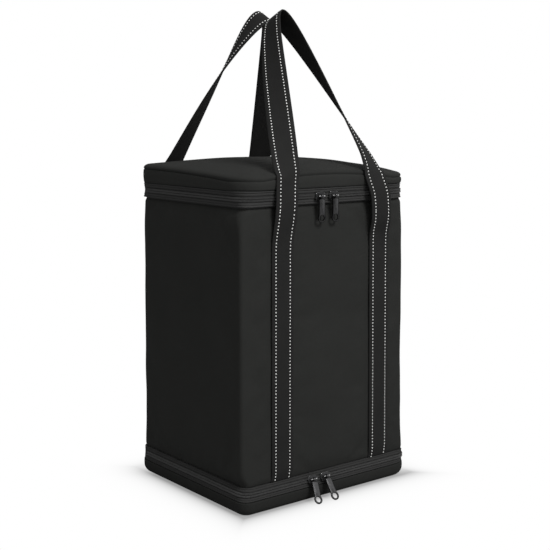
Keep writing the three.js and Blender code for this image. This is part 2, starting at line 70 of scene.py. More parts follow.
# %% Sizes of the bag
MM = 0.001
FABRIC = 1.2 * MM
wall_low, wall_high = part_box("outer_wall")
HALF_WIDTH, HALF_DEPTH = wall_high.x, wall_high.y
BODY_FOOT, BODY_TOP = wall_low.z, wall_high.z

lid_wall_low, lid_wall_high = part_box("lid_side_wall")
crown_low, crown_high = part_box("lid_top_panel")
LID_PROUD = lid_wall_high.x - HALF_WIDTH
LID_FOOT = lid_wall_low.z
LID_SEAM = crown_low.z + FABRIC
LID_CROWN = crown_high.z + 0.6 * MM

base_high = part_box("base_shell")[1]
BASE_PROUD = base_high.x - HALF_WIDTH
BASE_SEAM = base_high.z

strap_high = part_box("front_right_strap")[1]
STRAP_WIDTH = 30 * MM
STRAP_THICKNESS = 1.8 * MM
STRAP_MIDDLE = strap_high.x - STRAP_WIDTH / 2
SEWN_TOP = strap_high.z
print("body", HALF_WIDTH * 2, HALF_DEPTH * 2, BODY_FOOT, BODY_TOP, "lid seam", LID_SEAM, "crown", LID_CROWN)

# %% [markdown]
# ## Camera
# The photograph was taken from the bag's front left, from a little above, with a fairly long lens. The
# place and the lens come from lining up the bag's straight edges, so the render can be laid over the
# photograph.

# %% Camera
CAMERA_PLACE = (-811.7 * MM, -1039.4 * MM, 439.9 * MM)
CAMERA_TURN = math.radians(38.115)
CAMERA_DIP = math.radians(8.487)
bpy.ops.object.camera_add(location=CAMERA_PLACE, rotation=(math.pi / 2 - CAMERA_DIP, 0, -CAMERA_TURN))
camera = bpy.context.object
camera.data.sensor_width = 36
camera.data.lens = 72.42
bpy.context.scene.camera = camera
print("camera at", CAMERA_PLACE)

# %% [markdown]
# ## Shader sums in plain Python
# A pattern such as a weave is arithmetic on coordinates. Wiring each sum by hand is slow to read, so a
# small class wraps a socket and lets Python's own signs add the Math nodes.


# %% A socket that can be added and multiplied
class Wire:
    """One value in a shader, with the signs of arithmetic."""

    def __init__(self, socket):
        self.socket = socket

    @classmethod
    def node(cls, tree, kind, inputs=None, output=0, **settings):
        made = tree.nodes.new(kind)
        for name, value in settings.items():
            setattr(made, name, value)
        for name, value in (inputs or {}).items():
            if isinstance(value, Wire):
                value.feed(made, name)
            else:
                made.inputs[name].default_value = value
        return cls(made.outputs[output])

    def out(self, name):
        return Wire(self.socket.node.outputs[name])

    def feed(self, node, name):
        self.socket.id_data.links.new(self.socket, node.inputs[name])

    def sum(self, operation, first, second=0.0):
        return Wire.node(self.socket.id_data, "ShaderNodeMath", {0: first, 1: second}, operation=operation)

    def __add__(self, other):
        return self.sum("ADD", self, other)

    def __mul__(self, other):
        return self.sum("MULTIPLY", self, other)

    def __sub__(self, other):
        return self.sum("SUBTRACT", self, other)

    def __rsub__(self, other):
        return self.sum("SUBTRACT", other, self)

    __radd__ = __add__
    __rmul__ = __mul__

    def sine(self):
        return self.sum("SINE", self)

    def size(self):
        return self.sum("ABSOLUTE", self)

    def most(self, other):
        return self.sum("MAXIMUM", self, other)


def new_finish(name, roughness, specular, metallic=0.0):
    """A material and its main shader."""
    finish = bpy.data.materials.new(name)
    finish.use_nodes = True
    shader = finish.node_tree.nodes["Principled BSDF"]
    for socket, value in (("Roughness", roughness), ("Specular IOR Level", specular), ("Metallic", metallic)):
        shader.inputs[socket].default_value = value
    return finish, shader


def mottle(shader, size, detail=3.0):
    """Cloudy noise with patches of about this size, the same from every side."""
    tree = shader.id_data
    place = Wire.node(tree, "ShaderNodeTexCoord").out("Object")
    return Wire.node(tree, "ShaderNodeTexNoise", {"Vector": place, "Scale": 1 / size, "Detail": detail})


def tinted(shader, factor, dark, pale):
    colours = {0: factor, 6: (*dark, 1), 7: (*pale, 1)}
    Wire.node(shader.id_data, "ShaderNodeMix", colours, 2, data_type="RGBA").feed(shader, "Base Color")


def roughened(shader, factor, span, least):
    (factor * span + least).feed(shader, "Roughness")


def bumped(shader, height, depth, strength):
    relief = {"Height": height, "Distance": depth, "Strength": strength}
    Wire.node(shader.id_data, "ShaderNodeBump", relief).feed(shader, "Normal")


# %% [markdown]
# ## Cloth and thread
# Polyester cloth is a plain weave: warp and weft pass over and under each other. The product of two
# sines has just that chequer of bumps. The cloth's own UV map is in metres, so a thread is as wide on
# the lid as on the body. A slow mottle keeps the black from looking like paint. Webbing and zip tape
# are woven narrow, so they show ribs.


# %% Woven finishes
def flat_place(shader):
    """How far along and across the flat cloth a point is, in metres."""
    place = Wire.node(shader.id_data, "ShaderNodeUVMap", uv_map="UVMap")
    split = Wire.node(shader.id_data, "ShaderNodeSeparateXYZ", {0: place})
    return split.out("X"), split.out("Y")


def woven_finish(name, dark, pale, pitch):
    finish, shader = new_finish(name, 0.88, 0.05)
    along, across = flat_place(shader)
    turn = math.pi / pitch
    weave = (along * turn).sine() * (across * turn).sine()
    patches = mottle(shader, 45 * MM) * 0.65 + mottle(shader, 3 * MM, 1.0) * 0.35
    tinted(shader, patches + weave * 0.12, dark, pale)
    roughened(shader, patches, 0.2, 0.78)
    bumped(shader, weave, 0.12 * MM, 0.5)
    return finish


def ribbed_finish(name, dark, pale, pitch, lengthwise):
    finish, shader = new_finish(name, 0.8, 0.06)
    along, across = flat_place(shader)
    ribs, yarn = (across, along) if lengthwise else (along, across)
    turn = math.pi / pitch
    rib = (ribs * turn).sine().size()
    fine = (yarn * (turn * 1.7)).sine() * (ribs * (turn * 2.0)).sine()
    patches = mottle(shader, 20 * MM) * 0.7 + rib * 0.3
    tinted(shader, patches, dark, pale)
    roughened(shader, patches, 0.15, 0.72)
    bumped(shader, rib + fine * 0.4, 0.16 * MM, 0.6)
    return finish


def grained_finish(name, dark, pale, roughness, specular, grain, depth, strength):
    """One grain, given as its size and its detail, makes both the tint and the bumps."""
    finish, shader = new_finish(name, roughness, specular)
    grains = mottle(shader, *grain)
    tinted(shader, grains, dark, pale)
    bumped(shader, grains, depth, strength)
    return finish


WEAVE, LINING_WEAVE, WEB_RIB, TAPE_RIB = 0.8 * MM, 0.6 * MM, 1.3 * MM, 0.9 * MM
THREAD = {"roughness": 0.7, "specular": 0.2, "grain": (0.7 * MM, 1.0), "depth": 0.1 * MM, "strength": 0.5}
cloth_black = woven_finish("cloth_black", (0.0184, 0.0188, 0.0178), (0.028, 0.0286, 0.0272), WEAVE)
# A paler copy of cloth_black for the lid's wall: painted light, as the wall is lit brighter than the body.
lid_wall_cloth_painted_light = woven_finish("lid_wall_cloth_painted_light", (0.0205, 0.021, 0.02), (0.0315, 0.0322, 0.0305), WEAVE)
# A darker copy of cloth_black for the base: painted shade near the floor.
base_cloth_painted_shade = woven_finish("base_cloth_painted_shade", (0.0152, 0.0155, 0.0147), (0.0235, 0.024, 0.0228), WEAVE)
lining_dark = woven_finish("lining_dark", (0.009,) * 3, (0.016,) * 3, LINING_WEAVE)
webbing_black = ribbed_finish("webbing_black", (0.013, 0.013, 0.0127), (0.021, 0.021, 0.0205), WEB_RIB, False)
tape_black = ribbed_finish("tape_black", (0.029, 0.029, 0.0285), (0.046, 0.046, 0.0455), TAPE_RIB, True)
# A darker copy of tape_black for the base's zip: painted shade near the floor.
base_tape_painted_shade = ribbed_finish("base_tape_painted_shade", (0.0245, 0.0245, 0.024), (0.039, 0.039, 0.0385), TAPE_RIB, True)
thread_pale = grained_finish("thread_pale", (0.78, 0.78, 0.76), (0.96, 0.96, 0.94), **THREAD)
thread_dark = grained_finish("thread_dark", (0.008,) * 3, (0.015,) * 3, **THREAD)
print("woven finishes made")

# %% [markdown]
# ## Metal, film, foam and board
# The sliders are cast zinc with a dark plating. A pale copy of the metal on their edges and fronts is a
# painted highlight, and a darker copy on the pulls' rims is painted shade. The lining is a silver film
# with fine crinkles. The foam has a fine closed cell, and the boards are moulded with a sand-blast grain.


# %% Hard finishes
def metal_finish(name, dark, pale, roughness):
    finish, shader = new_finish(name, roughness, 0.5, 0.9)
    cloud = mottle(shader, 2.5 * MM)
    tinted(shader, cloud, dark, pale)
    roughened(shader, cloud, 0.2, roughness - 0.1)
    bumped(shader, mottle(shader, 0.4 * MM), 0.03 * MM, 0.4)
    return finish


gunmetal = metal_finish("gunmetal", (0.055, 0.055, 0.056), (0.095, 0.095, 0.097), 0.3)
# A darker copy of the metal for the pulls' rims: painted shade along their outline.
painted_shade_rim = metal_finish("painted_shade_rim", (0.006,) * 3, (0.012,) * 3, 0.35)
# A pale metal that paints highlights on the sliders' edges and fronts.
painted_highlight_metal = metal_finish("painted_highlight_metal", (0.6,) * 3, (0.8,) * 3, 0.25)

coil_black, shader = new_finish("coil_black", 0.45, 0.35)
cloud = mottle(shader, 6 * MM)
tinted(shader, cloud, (0.034, 0.034, 0.0335), (0.052, 0.052, 0.0515))
roughened(shader, cloud, 0.2, 0.5)

lining_silver, shader = new_finish("lining_silver", 0.4, 0.5, 0.55)
crinkle = mottle(shader, 9 * MM, 5.0)
FILM_GRID = 1.4 * MM
along_grid, across_grid = [(place * (math.pi / FILM_GRID)).sine().size() for place in flat_place(shader)]
grid = along_grid + across_grid
tinted(shader, crinkle + grid * 0.08, (0.42, 0.43, 0.45), (0.66, 0.67, 0.69))
roughened(shader, crinkle, 0.3, 0.25)
bumped(shader, crinkle + grid * 0.05, 1.2 * MM, 0.5)

foam_white = grained_finish("foam_white", (0.62, 0.62, 0.6), (0.8, 0.8, 0.78), roughness=0.95, specular=0.1,
                            grain=(1.2 * MM, 2.0), depth=0.3 * MM, strength=0.6)

board_grey, shader = new_finish("board_grey", 0.6, 0.3)
grain = mottle(shader, 0.9 * MM, 2.0)
tinted(shader, grain * 0.5 + mottle(shader, 30 * MM) * 0.5, (0.025, 0.025, 0.026), (0.05, 0.05, 0.051))
bumped(shader, grain, 0.1 * MM, 0.5)
print("hard finishes made")

# %% [markdown]
# ## Stage and light
# A white floor and a white surround, as in a studio. Both are white only to the camera, so the
# whiteness adds no light to the bag. Reflections see a studio that is dark in front and bright on both
# sides and above, which draws pale lines along the edges of the metal. One soft lamp, high in front,
# gives the order of the faces: top brightest, then front, then the side on the left. Close to the bag
# the floor's shadow is painted: there the camera sees a dark grey floor, which also takes the lamp's
# real shadow and fades to white over a short reach, weaker behind the bag.


# %% Stage and light
AMBIENT = 0.53
# The floor's painted shadow: how far it reaches, how dark it is, how much of it stays behind the bag and
# where it turns from front to behind.
SHADOW_REACH = 11 * MM
SHADOW_DEPTH = 0.7
SHADOW_BEHIND = 0.3
SHADOW_TURN = (-25 * MM, 15 * MM)
VIEW_ACROSS, VIEW_ALONG = 0.62, 0.79
WHITE = (1, 1, 1, 1)
LAMP_PLACE = Vector((0.15, -1.57, 1.75))
BAG_MIDDLE = Vector((0, 0, 0.25))


def ramp(tree, value, start, end, low, high):
    """A value that goes smoothly from low to high between start and end."""
    limits = {0: value, 1: start, 2: end, 3: low, 4: high}
    return Wire.node(tree, "ShaderNodeMapRange", limits, interpolation_type="SMOOTHSTEP")


def empty_tree(owner):
    owner.use_nodes = True
    owner.node_tree.nodes.clear()
    return owner.node_tree


def light_world():
    world = bpy.context.scene.world or bpy.data.worlds.new("studio")
    bpy.context.scene.world = world
    tree = empty_tree(world)
    ray = Wire.node(tree, "ShaderNodeLightPath")
    place = Wire.node(tree, "ShaderNodeTexCoord").out("Generated")
    way = Wire.node(tree, "ShaderNodeSeparateXYZ", {0: place})
    sides = ramp(tree, way.out("X").size(), 0.52, 0.76, 0.0, 1.0)
    above = ramp(tree, way.out("Z"), 0.3, 0.6, 0.0, 0.8)
    mirrored = sides.most(above) * 0.9 + 0.1
    plain = ray.out("Is Camera Ray") * (1 - AMBIENT) + AMBIENT
    shiny = ray.out("Is Glossy Ray")
    strength = plain * (1 - shiny) + mirrored * shiny
    sky = Wire.node(tree, "ShaderNodeBackground", {"Color": WHITE, "Strength": strength})
    sky.feed(tree.nodes.new("ShaderNodeOutputWorld"), "Surface")


def floor_finish():
    finish = bpy.data.materials.new("studio_floor")
    tree = empty_tree(finish)
    seen = Wire.node(tree, "ShaderNodeLightPath").out("Is Camera Ray")
    place = Wire.node(tree, "ShaderNodeTexCoord").out("Object")
    split = Wire.node(tree, "ShaderNodeSeparateXYZ", {0: place})
    across, along = split.out("X"), split.out("Y")
    # Painted shadow: darkest at the bag's footprint, fading to white with distance from it, and weaker behind
    # the bag.
    away = (across.size() - (HALF_WIDTH + BASE_PROUD)).most(along.size() - (HALF_DEPTH + BASE_PROUD))
    shade = away.sum("EXPONENT", away.most(0.0) * (-1 / SHADOW_REACH))
    shadow_by_side = ramp(tree, across * VIEW_ACROSS + along * VIEW_ALONG, *SHADOW_TURN, 1.0, SHADOW_BEHIND)
    fade = 1 - shade * shadow_by_side * SHADOW_DEPTH
    # The paint is darker to the camera than to other rays, as part of the painted shadow.
    tone = {0: seen, 6: (0.4, 0.4, 0.4, 1), 7: (0.2, 0.2, 0.2, 1)}
    grey = Wire.node(tree, "ShaderNodeMix", tone, 2, data_type="RGBA")
    paint = Wire.node(tree, "ShaderNodeBsdfDiffuse", {"Color": grey})
    glow = Wire.node(tree, "ShaderNodeEmission", {"Color": WHITE, "Strength": 1.0})
    both = Wire.node(tree, "ShaderNodeMixShader", {0: seen * fade, 1: paint, 2: glow})
    both.feed(tree.nodes.new("ShaderNodeOutputMaterial"), "Surface")
    return finish


light_world()
bpy.ops.object.select_all(action="DESELECT")
bpy.ops.mesh.primitive_plane_add(size=30)
studio_floor = bpy.context.object
studio_floor.name = "studio_floor"
studio_floor.data.materials.append(floor_finish())
bpy.ops.object.light_add(type="AREA", location=LAMP_PLACE)
key_lamp = bpy.context.object
key_lamp.name = "key_lamp"
key_lamp.data.shape = "DISK"
key_lamp.data.size = 0.9
key_lamp.data.energy = 38
key_lamp.rotation_euler = (BAG_MIDDLE - LAMP_PLACE).to_track_quat("-Z", "Y").to_euler()
bpy.context.scene.view_settings.view_transform = "Standard"
print("stage and lamp set")

# %% [markdown]
# ## Cutting and sewing
# Every cloth piece starts as Blender's grid, which is a flat sheet with a UV map. Sewing moves each
# corner of the grid to its place on the bag, keeps the flat sizes in the UV map and joins the edges
# that meet. Then the cloth gets its thickness, and the finished piece is handed over to the body that
# it moves with.


# %% Helpers that work on a piece
class EditMode:
    """Edit mode on the active piece, for as long as a with block lasts."""

    def __enter__(self):
        bpy.ops.object.mode_set(mode="EDIT")

    def __exit__(self, *trouble):
        bpy.ops.object.mode_set(mode="OBJECT")


def pick(*pieces):
    """Selects these pieces alone and makes the last one active."""
    bpy.ops.object.select_all(action="DESELECT")
    for piece in pieces:
        piece.select_set(True)
    bpy.context.view_layer.objects.active = pieces[-1]


def new_piece(name, data):
    piece = bpy.data.objects.new(name, data)
    bpy.context.scene.collection.objects.link(piece)
    return piece


def dress(piece, *finishes):
    piece.data.materials.clear()
    for finish in finishes:
        piece.data.materials.append(finish)


def tidy_mesh(piece):
    """Joins corners that lie on each other."""
    pick(piece)
    with EditMode():
        bpy.ops.mesh.select_all(action="SELECT")
        bpy.ops.mesh.remove_doubles(threshold=0.002 * MM)
        bpy.ops.mesh.dissolve_degenerate(threshold=0.001 * MM)


def apply_modifier(piece, kind, **settings):
    modifier = piece.modifiers.new(kind.title(), kind)
    for name, value in settings.items():
        setattr(modifier, name, value)
    pick(piece)
    bpy.ops.object.modifier_apply(modifier=modifier.name)


def thicken(piece, thickness):
    apply_modifier(piece, "SOLIDIFY", thickness=thickness, offset=-1.0, use_even_offset=True)


def bevel(piece, width, segments, degrees, **settings):
    """Rounds the edges that turn by more than this."""
    limit = {"limit_method": "ANGLE", "angle_limit": math.radians(degrees)}
    apply_modifier(piece, "BEVEL", width=width, segments=segments, **limit, **settings)


def smooth(piece, degrees=50):
    pick(piece)
    bpy.ops.object.shade_smooth_by_angle(angle=math.radians(degrees))


def read_points(mesh):
    points = np.empty(len(mesh.vertices) * 3)
    mesh.vertices.foreach_get("co", points)
    return points.reshape(-1, 3)


def write_points(mesh, points):
    mesh.vertices.foreach_set("co", points.astype(np.float32).ravel())


def hand_over(piece, finish, body, nodes=()):
    """Gives a finished piece its material and, when the body is a name, the body that it moves with;
    otherwise it fixes the piece in place. It hides the solids that the piece stands for.
    """
    if finish:
        dress(piece, finish)
    if isinstance(body, str):
        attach(piece, body)
    else:
        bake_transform(piece)
    if nodes:
        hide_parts(*nodes)
    print(piece.name, len(piece.data.polygons), "faces")


# %% Helpers that cut and sew cloth
def running(steps):
    return np.concatenate([[0], np.cumsum(steps)])


def flat_sizes(points):
    """How far along and across its sheet each corner lies, measured on the sewn piece."""
    along = running(np.linalg.norm(np.diff(points, axis=0), axis=-1).max(axis=1))
    across = running(np.linalg.norm(np.diff(points, axis=1), axis=-1).max(axis=0))
    return np.stack(np.meshgrid(along, across, indexing="ij"), axis=-1)


def sew(name, points, flat=None):
    """Cuts a grid and moves its corner in column i, row j to points[i, j]."""
    columns, rows = points.shape[0] - 1, points.shape[1] - 1
    bpy.ops.object.select_all(action="DESELECT")
    bpy.ops.mesh.primitive_grid_add(x_subdivisions=columns, y_subdivisions=rows, size=2.0)
    piece = bpy.context.object
    piece.name = name
    mesh = piece.data
    cut = read_points(mesh)
    column = np.rint((cut[:, 0] + 1) / 2 * columns).astype(int)
    row = np.rint((cut[:, 1] + 1) / 2 * rows).astype(int)
    write_points(mesh, points[column, row])
    sizes = flat_sizes(points) if flat is None else flat
    corner = np.empty(len(mesh.loops), int)
    mesh.loops.foreach_get("vertex_index", corner)
    uv = sizes[column[corner], row[corner]]
    mesh.uv_layers["UVMap"].data.foreach_set("uv", uv.astype(np.float32).ravel())
    tidy_mesh(piece)
    return piece


def soft_line(points, count):
    """A smooth line through a few points, in this many steps."""
    points = np.asarray(points, float)
    last = len(points) - 1
    spot = np.linspace(0, last, count + 1)
    here = np.minimum(spot.astype(int), last - 1)
    part = (spot - here)[:, None]
    before = points[np.maximum(here - 1, 0)]
    start, end = points[here], points[here + 1]
    after = points[np.minimum(here + 2, last)]
    leave, arrive = (end - before) / 2, (after - start) / 2
    cubic = 2 * start - 2 * end + leave + arrive
    square = -3 * start + 3 * end - 2 * leave - arrive
    return ((cubic * part + square) * part + leave) * part + start


def ripple(points, size, height, seed):
    """A small smooth unevenness, the same at every run."""
    flat = points.reshape(-1, 3) / size + seed
    return height * np.array([noise.noise(Vector(spot)) for spot in flat]).reshape(points.shape[:-1])


print("helpers ready")

# %% [markdown]
# ## The bag's outline
# Seen from above, the body, lid and base all follow one rounded rectangle. A station is a place on it:
# how far along a straight side it is, and which way is out. All the bands below are profiles carried
# round these stations, starting at the middle of the back, where the seam shows least.

# %% Stations round the bag
WIDTH_STEPS = 48
HALF_BACK = WIDTH_STEPS // 2
DEPTH_STEPS = 40
CORNER_STEPS = 10


def make_stations():
    """Every stop round the bag: its share across and along, from -1 to 1, and the angle of its way out."""
    sides = (HALF_BACK, DEPTH_STEPS, WIDTH_STEPS, DEPTH_STEPS, HALF_BACK)
    places = [(0, 1), (-1, 1), (-1, -1), (1, -1), (1, 1), (0, 1)]
    quarter = math.pi / 2
    stops = []
    for turn, steps in enumerate(sides, 1):
        start, end = np.array(places[turn - 1:turn + 1], float)
        stops += [(*(start + (end - start) * (step / steps)), turn * quarter) for step in range(steps)]
        if turn < len(sides):
            stops += [(*end, turn * quarter + quarter * step / CORNER_STEPS) for step in range(CORNER_STEPS)]
    return np.array(stops + [(*places[-1], len(sides) * quarter)])


def wrap(stations, proud, height, radius):
    """Carries a profile round the stations: proud of the body, at a height, on corners of this radius."""
    share_x, share_y, angle = (stations[:, k, None] for k in range(3))
    reach = radius + proud
    x = share_x * (HALF_WIDTH - radius) + reach * np.cos(angle)
    y = share_y * (HALF_DEPTH - radius) + reach * np.sin(angle)
    return np.stack(np.broadcast_arrays(x, y, height), axis=-1)


def with_sole(side, height, rows):
    """Closes the foot of a wrapped piece with a flat sole."""
    sole = side[:, :1, :] * np.linspace(0, 1, rows)[None, :-1, None]
    sole[..., 2] = height
    return np.concatenate([sole, side], axis=1)


def by_corner(run, front_left, front_right, back_left, back_right):
    """A value that is given at the four corners and changes evenly along the sides between them."""
    x, y = run[:, 0, None], run[:, 1, None]
    front = front_left * (1 - x) + front_right * (1 + x)
    back = back_left * (1 - x) + back_right * (1 + x)
    return (front * (1 - y) + back * (1 + y)) / 4


def corners(near, right, far):
    return {"front_left": near, "front_right": right, "back_left": far, "back_right": far}


stations = make_stations()
three_sides = stations[HALF_BACK:-HALF_BACK]
back_side = np.concatenate([stations[-HALF_BACK - 1:-1], stations[:HALF_BACK + 1]])
print("stations:", len(stations))

# %% [markdown]
# ## The body
# The body is one wrap of cloth over foam boards. Its near corner is tight, the others grow rounder
# towards the top, and its edges tuck in under the zip tapes. A short run of Blender's cloth with a
# little pressure makes it swell between the places where it is held: the two seams, the corners and the
# strips of webbing.

# %% The body's wrap
BODY_ROWS = 72
ROWS_AT_SEAMS = 0.6
CORNER_EASE = 34 * MM
NEAR_CORNER = {"foot": 7 * MM, "low": 4 * MM, "high": 4 * MM, "top": 10 * MM}
RIGHT_CORNER = {"foot": 5 * MM, "low": 7 * MM, "high": 17 * MM, "top": 19 * MM}
FAR_CORNER = {"foot": 6 * MM, "low": 6 * MM, "high": 16 * MM, "top": 17 * MM}
TUCK = {"foot": 0.7 * MM, "top": 2.0 * MM}
TUCK_REACH = {"foot": 2.0 * MM, "top": 2.8 * MM}
NEAR_PULL = 5.5 * MM
NEAR_PULL_EASE = 8 * MM
TURNED_IN = 6 * MM
TURNED_UNDER = 0.8 * MM

share = np.concatenate([[0], np.linspace(0, 1, BODY_ROWS + 1), [1]])
gathered = share - ROWS_AT_SEAMS * np.sin(2 * math.pi * share) / (2 * math.pi)
body_height = BODY_FOOT + (BODY_TOP - BODY_FOOT) * gathered
from_seam = np.minimum(body_height - BODY_FOOT, BODY_TOP - body_height)
ease = np.clip(from_seam / CORNER_EASE, 0, 1)


def foot_or_top(values):
    return np.where(share > 0.5, values["top"], values["foot"])


def corner_up_the_edge(values):
    seam = foot_or_top(values)
    middle = values["low"] + (values["high"] - values["low"]) * share
    return seam + (middle - seam) * ease * ease * (3 - 2 * ease)


near, right, far = [corner_up_the_edge(values) for values in (NEAR_CORNER, RIGHT_CORNER, FAR_CORNER)]
body_radius = by_corner(stations, **corners(near, right, far))
body_proud = -foot_or_top(TUCK) * np.exp(-((from_seam / foot_or_top(TUCK_REACH)) ** 2))
body_proud[[0, -1]] = -TURNED_IN
body_height[0] += TURNED_UNDER
body_height[-1] -= TURNED_UNDER
clear_of_seam = 1 - np.exp(-((from_seam / NEAR_PULL_EASE) ** 2))
near_pull = NEAR_PULL * by_corner(stations, 1, 0, 0, 0) ** 3 * clear_of_seam


def body_points(rumple):
    points = wrap(stations, body_proud + rumple, body_height, body_radius)
    points[..., 0] -= near_pull
    return points


body_face = body_points(0.0)
rumple = ripple(body_face, 60 * MM, 0.7 * MM, 1.0) + ripple(body_face, 22 * MM, 0.3 * MM, 5.0)
rumple[-1] = rumple[0]
body_wrap = sew("body_wrap", body_points(rumple * ease))

# %% The body's swell
CLOTH = 0.6 * MM
SWELL_MOST = 2.6 * MM
SEAM_HELD, CORNER_HELD, STRAP_HELD, FACE_DEPTH = 5 * MM, 13 * MM, 4 * MM, 3 * MM
CLOTH_STEPS = 20
CLOTH_RUN = {
    "quality": 6, "mass": 0.2, "tension_stiffness": 12, "compression_stiffness": 12, "bending_stiffness": 1.5,
    "shrink_min": -0.006, "vertex_group_mass": "sewn", "use_pressure": True, "uniform_pressure_force": 4.0,
}


def body_sewn(points):
    x, y, z = points.T
    at_seam = (z < BODY_FOOT + SEAM_HELD) | (z > BODY_TOP - SEAM_HELD)
    at_corner = (np.abs(x) > HALF_WIDTH - CORNER_HELD) & (np.abs(y) > HALF_DEPTH - CORNER_HELD)
    on_face = np.abs(y) > HALF_DEPTH - FACE_DEPTH
    under_strap = np.abs(np.abs(x) - STRAP_MIDDLE) < STRAP_WIDTH / 2 + STRAP_HELD
    return at_seam | at_corner | (on_face & under_strap & (z < SEWN_TOP + STRAP_HELD))


def swell(piece, is_sewn, most):
    """Blows a piece out with Blender's cloth, holds it where it is sewn, and limits how far it goes."""
    start = read_points(piece.data)
    sewn = piece.vertex_groups.new(name="sewn")
    sewn.add(np.flatnonzero(is_sewn(start)).tolist(), 1.0, "REPLACE")
    cloth = piece.modifiers.new("Cloth", "CLOTH")
    for name, value in CLOTH_RUN.items():
        setattr(cloth.settings, name, value)
    cloth.settings.effector_weights.gravity = 0
    for step in range(1, CLOTH_STEPS + 1):
        bpy.context.scene.frame_set(step)
    pick(piece)
    bpy.ops.object.modifier_apply(modifier=cloth.name)
    bpy.context.scene.frame_set(1)
    shift = read_points(piece.data) - start
    reach = np.linalg.norm(shift, axis=1, keepdims=True)
    held = most * np.tanh(reach / most) / np.maximum(reach, 1e-9)
    write_points(piece.data, start + shift * held)
    piece.vertex_groups.clear()
    print(piece.name, "swelled by up to", round(float(reach.max()) / MM, 2), "mm before the limit")


swell(body_wrap, body_sewn, SWELL_MOST)
thicken(body_wrap, CLOTH)
smooth(body_wrap)
hand_over(body_wrap, cloth_black, "bag_body", ["outer_wall"])

# %% [markdown]
# ## The lid
# The lid is a crowned panel sewn to a short wall. The seam between them bows up along each side, and
# both pieces turn in towards it, which leaves the fine dark groove that shows in the photograph. The
# panel is a ring of cloth that closes on the lid's middle, so its UV map is the plan of the lid.

# %% The lid's wall
CORNER_LIFT = {"front_left": -3.5 * MM, "front_right": -6.2 * MM, "back_left": 2.8 * MM, "back_right": 0.0}
LID_CORNER = corners(24 * MM, 28 * MM, 24 * MM)
SIDE_BOW = {"front": 6.0 * MM, "back": 4.2 * MM, "left": 1.4 * MM, "right": 3.2 * MM}


def seam_lift():
    """How far the lid's seam lies above its solid's edge: lifted or sunk corners, and sides that bow up."""
    x, y = stations[:, 0, None], stations[:, 1, None]
    along_width = np.where(y < 0, SIDE_BOW["front"], SIDE_BOW["back"]) * (1 - x ** 2)
    along_depth = np.where(x < 0, SIDE_BOW["left"], SIDE_BOW["right"]) * (1 - y ** 2)
    return by_corner(stations, **CORNER_LIFT) + along_width + along_depth


lid_seam = LID_SEAM + seam_lift()
lid_corner = by_corner(stations, **LID_CORNER)
lid_wall_line = soft_line([
    (-5.0, 0.0), (-1.6, -0.02), (-0.2, 0.05), (0.3, 0.3), (0.5, 0.6), (0.2, 0.88), (-0.4, 0.97), (-1.4, 1.0),
], 24)
lid_wall_height = LID_FOOT + (lid_seam - LID_FOOT) * lid_wall_line[:, 1]
lid_wall = sew("lid_wall", wrap(stations, LID_PROUD + lid_wall_line[:, 0] * MM, lid_wall_height, lid_corner))
thicken(lid_wall, FABRIC * 0.8)
smooth(lid_wall)
# The wall's paler cloth is painted light.
hand_over(lid_wall, lid_wall_cloth_painted_light, "lid", ["lid_side_wall"])

# %% The lid's crowned panel
PANEL_ROWS = 30
PANEL_GATHER = 0.8
CROWN_POWER = 2.2
SETTLE_ROWS = 10
BACK_EDGE = [(-1.9, 0.0), (-0.9, 0.15), (-0.2, 0.9), (-0.1, 2.0), (-0.8, 3.4), (-2.2, 4.6), (-4.6, 5.7)]
FRONT_EDGE = [(-0.9, 0.0), (-0.8, 0.5), (-0.5, 1.3), (-0.3, 2.4), (-0.7, 3.6), (-2.0, 4.8), (-4.5, 5.8)]


def lid_panel_points():
    front = ((1 - stations[:, 1, None]) / 2) ** 4
    back_edge, front_edge = np.array(BACK_EDGE).T * MM, np.array(FRONT_EDGE).T * MM
    proud, rise = [there + (here - there) * front for here, there in zip(front_edge, back_edge)]
    rim = wrap(stations, LID_PROUD + proud, lid_seam + rise, lid_corner)
    reach = np.linspace(1, 0, PANEL_ROWS + 1)[1:] ** PANEL_GATHER
    start = rim[:, -1:, :]
    panel = start * reach[None, :, None]
    panel[..., 2] = start[..., 2] + (LID_CROWN - start[..., 2]) * (1 - reach ** CROWN_POWER)
    points = np.concatenate([rim, panel], axis=1)
    settle = np.clip(np.arange(points.shape[1]) / SETTLE_ROWS, 0, 1)
    settle[-1] = 0
    points[..., 2] += ripple(points, 55 * MM, 0.9 * MM, 3.0) * settle
    points[:, -1] = points[0, -1]
    return points


panel_points = lid_panel_points()
lid_panel = sew("lid_panel", panel_points, panel_points[..., :2])
thicken(lid_panel, FABRIC)
smooth(lid_panel, 70)
hand_over(lid_panel, cloth_black, "lid", ["lid_top_panel"])

# %% [markdown]
# ## The base
# The base is a shallow tray with a rolled lower edge. Like the lid it is a ring of cloth that closes on
# its middle, flat where it stands on the floor, and it ends in a turned-in edge under the zip.

# %% The base tray
BASE_ROLL = 7 * MM
BASE_CORNER = corners(5 * MM, 21 * MM, 21 * MM)
SOLE_ROWS = 12
base_line = soft_line([
    (BASE_PROUD - BASE_ROLL, 0.0),
    (BASE_PROUD - 0.6 * BASE_ROLL, 0.5 * MM),
    (BASE_PROUD - 0.29 * BASE_ROLL, 2.1 * MM),
    (BASE_PROUD - 0.05 * BASE_ROLL, 5.0 * MM),
    (BASE_PROUD + 0.2 * MM, 9.0 * MM),
    (BASE_PROUD, BASE_SEAM - 1.2 * MM),
    (BASE_PROUD - 0.7 * MM, BASE_SEAM - 0.2 * MM),
    (BASE_PROUD - 2.2 * MM, BASE_SEAM),
], 24)
base_side = wrap(stations, base_line[:, 0], base_line[:, 1], by_corner(stations, **BASE_CORNER))
base_tray = sew("base_tray", with_sole(base_side, 0, SOLE_ROWS))
thicken(base_tray, FABRIC)
smooth(base_tray)
hand_over(base_tray, base_cloth_painted_shade, "base", ["base_shell"])

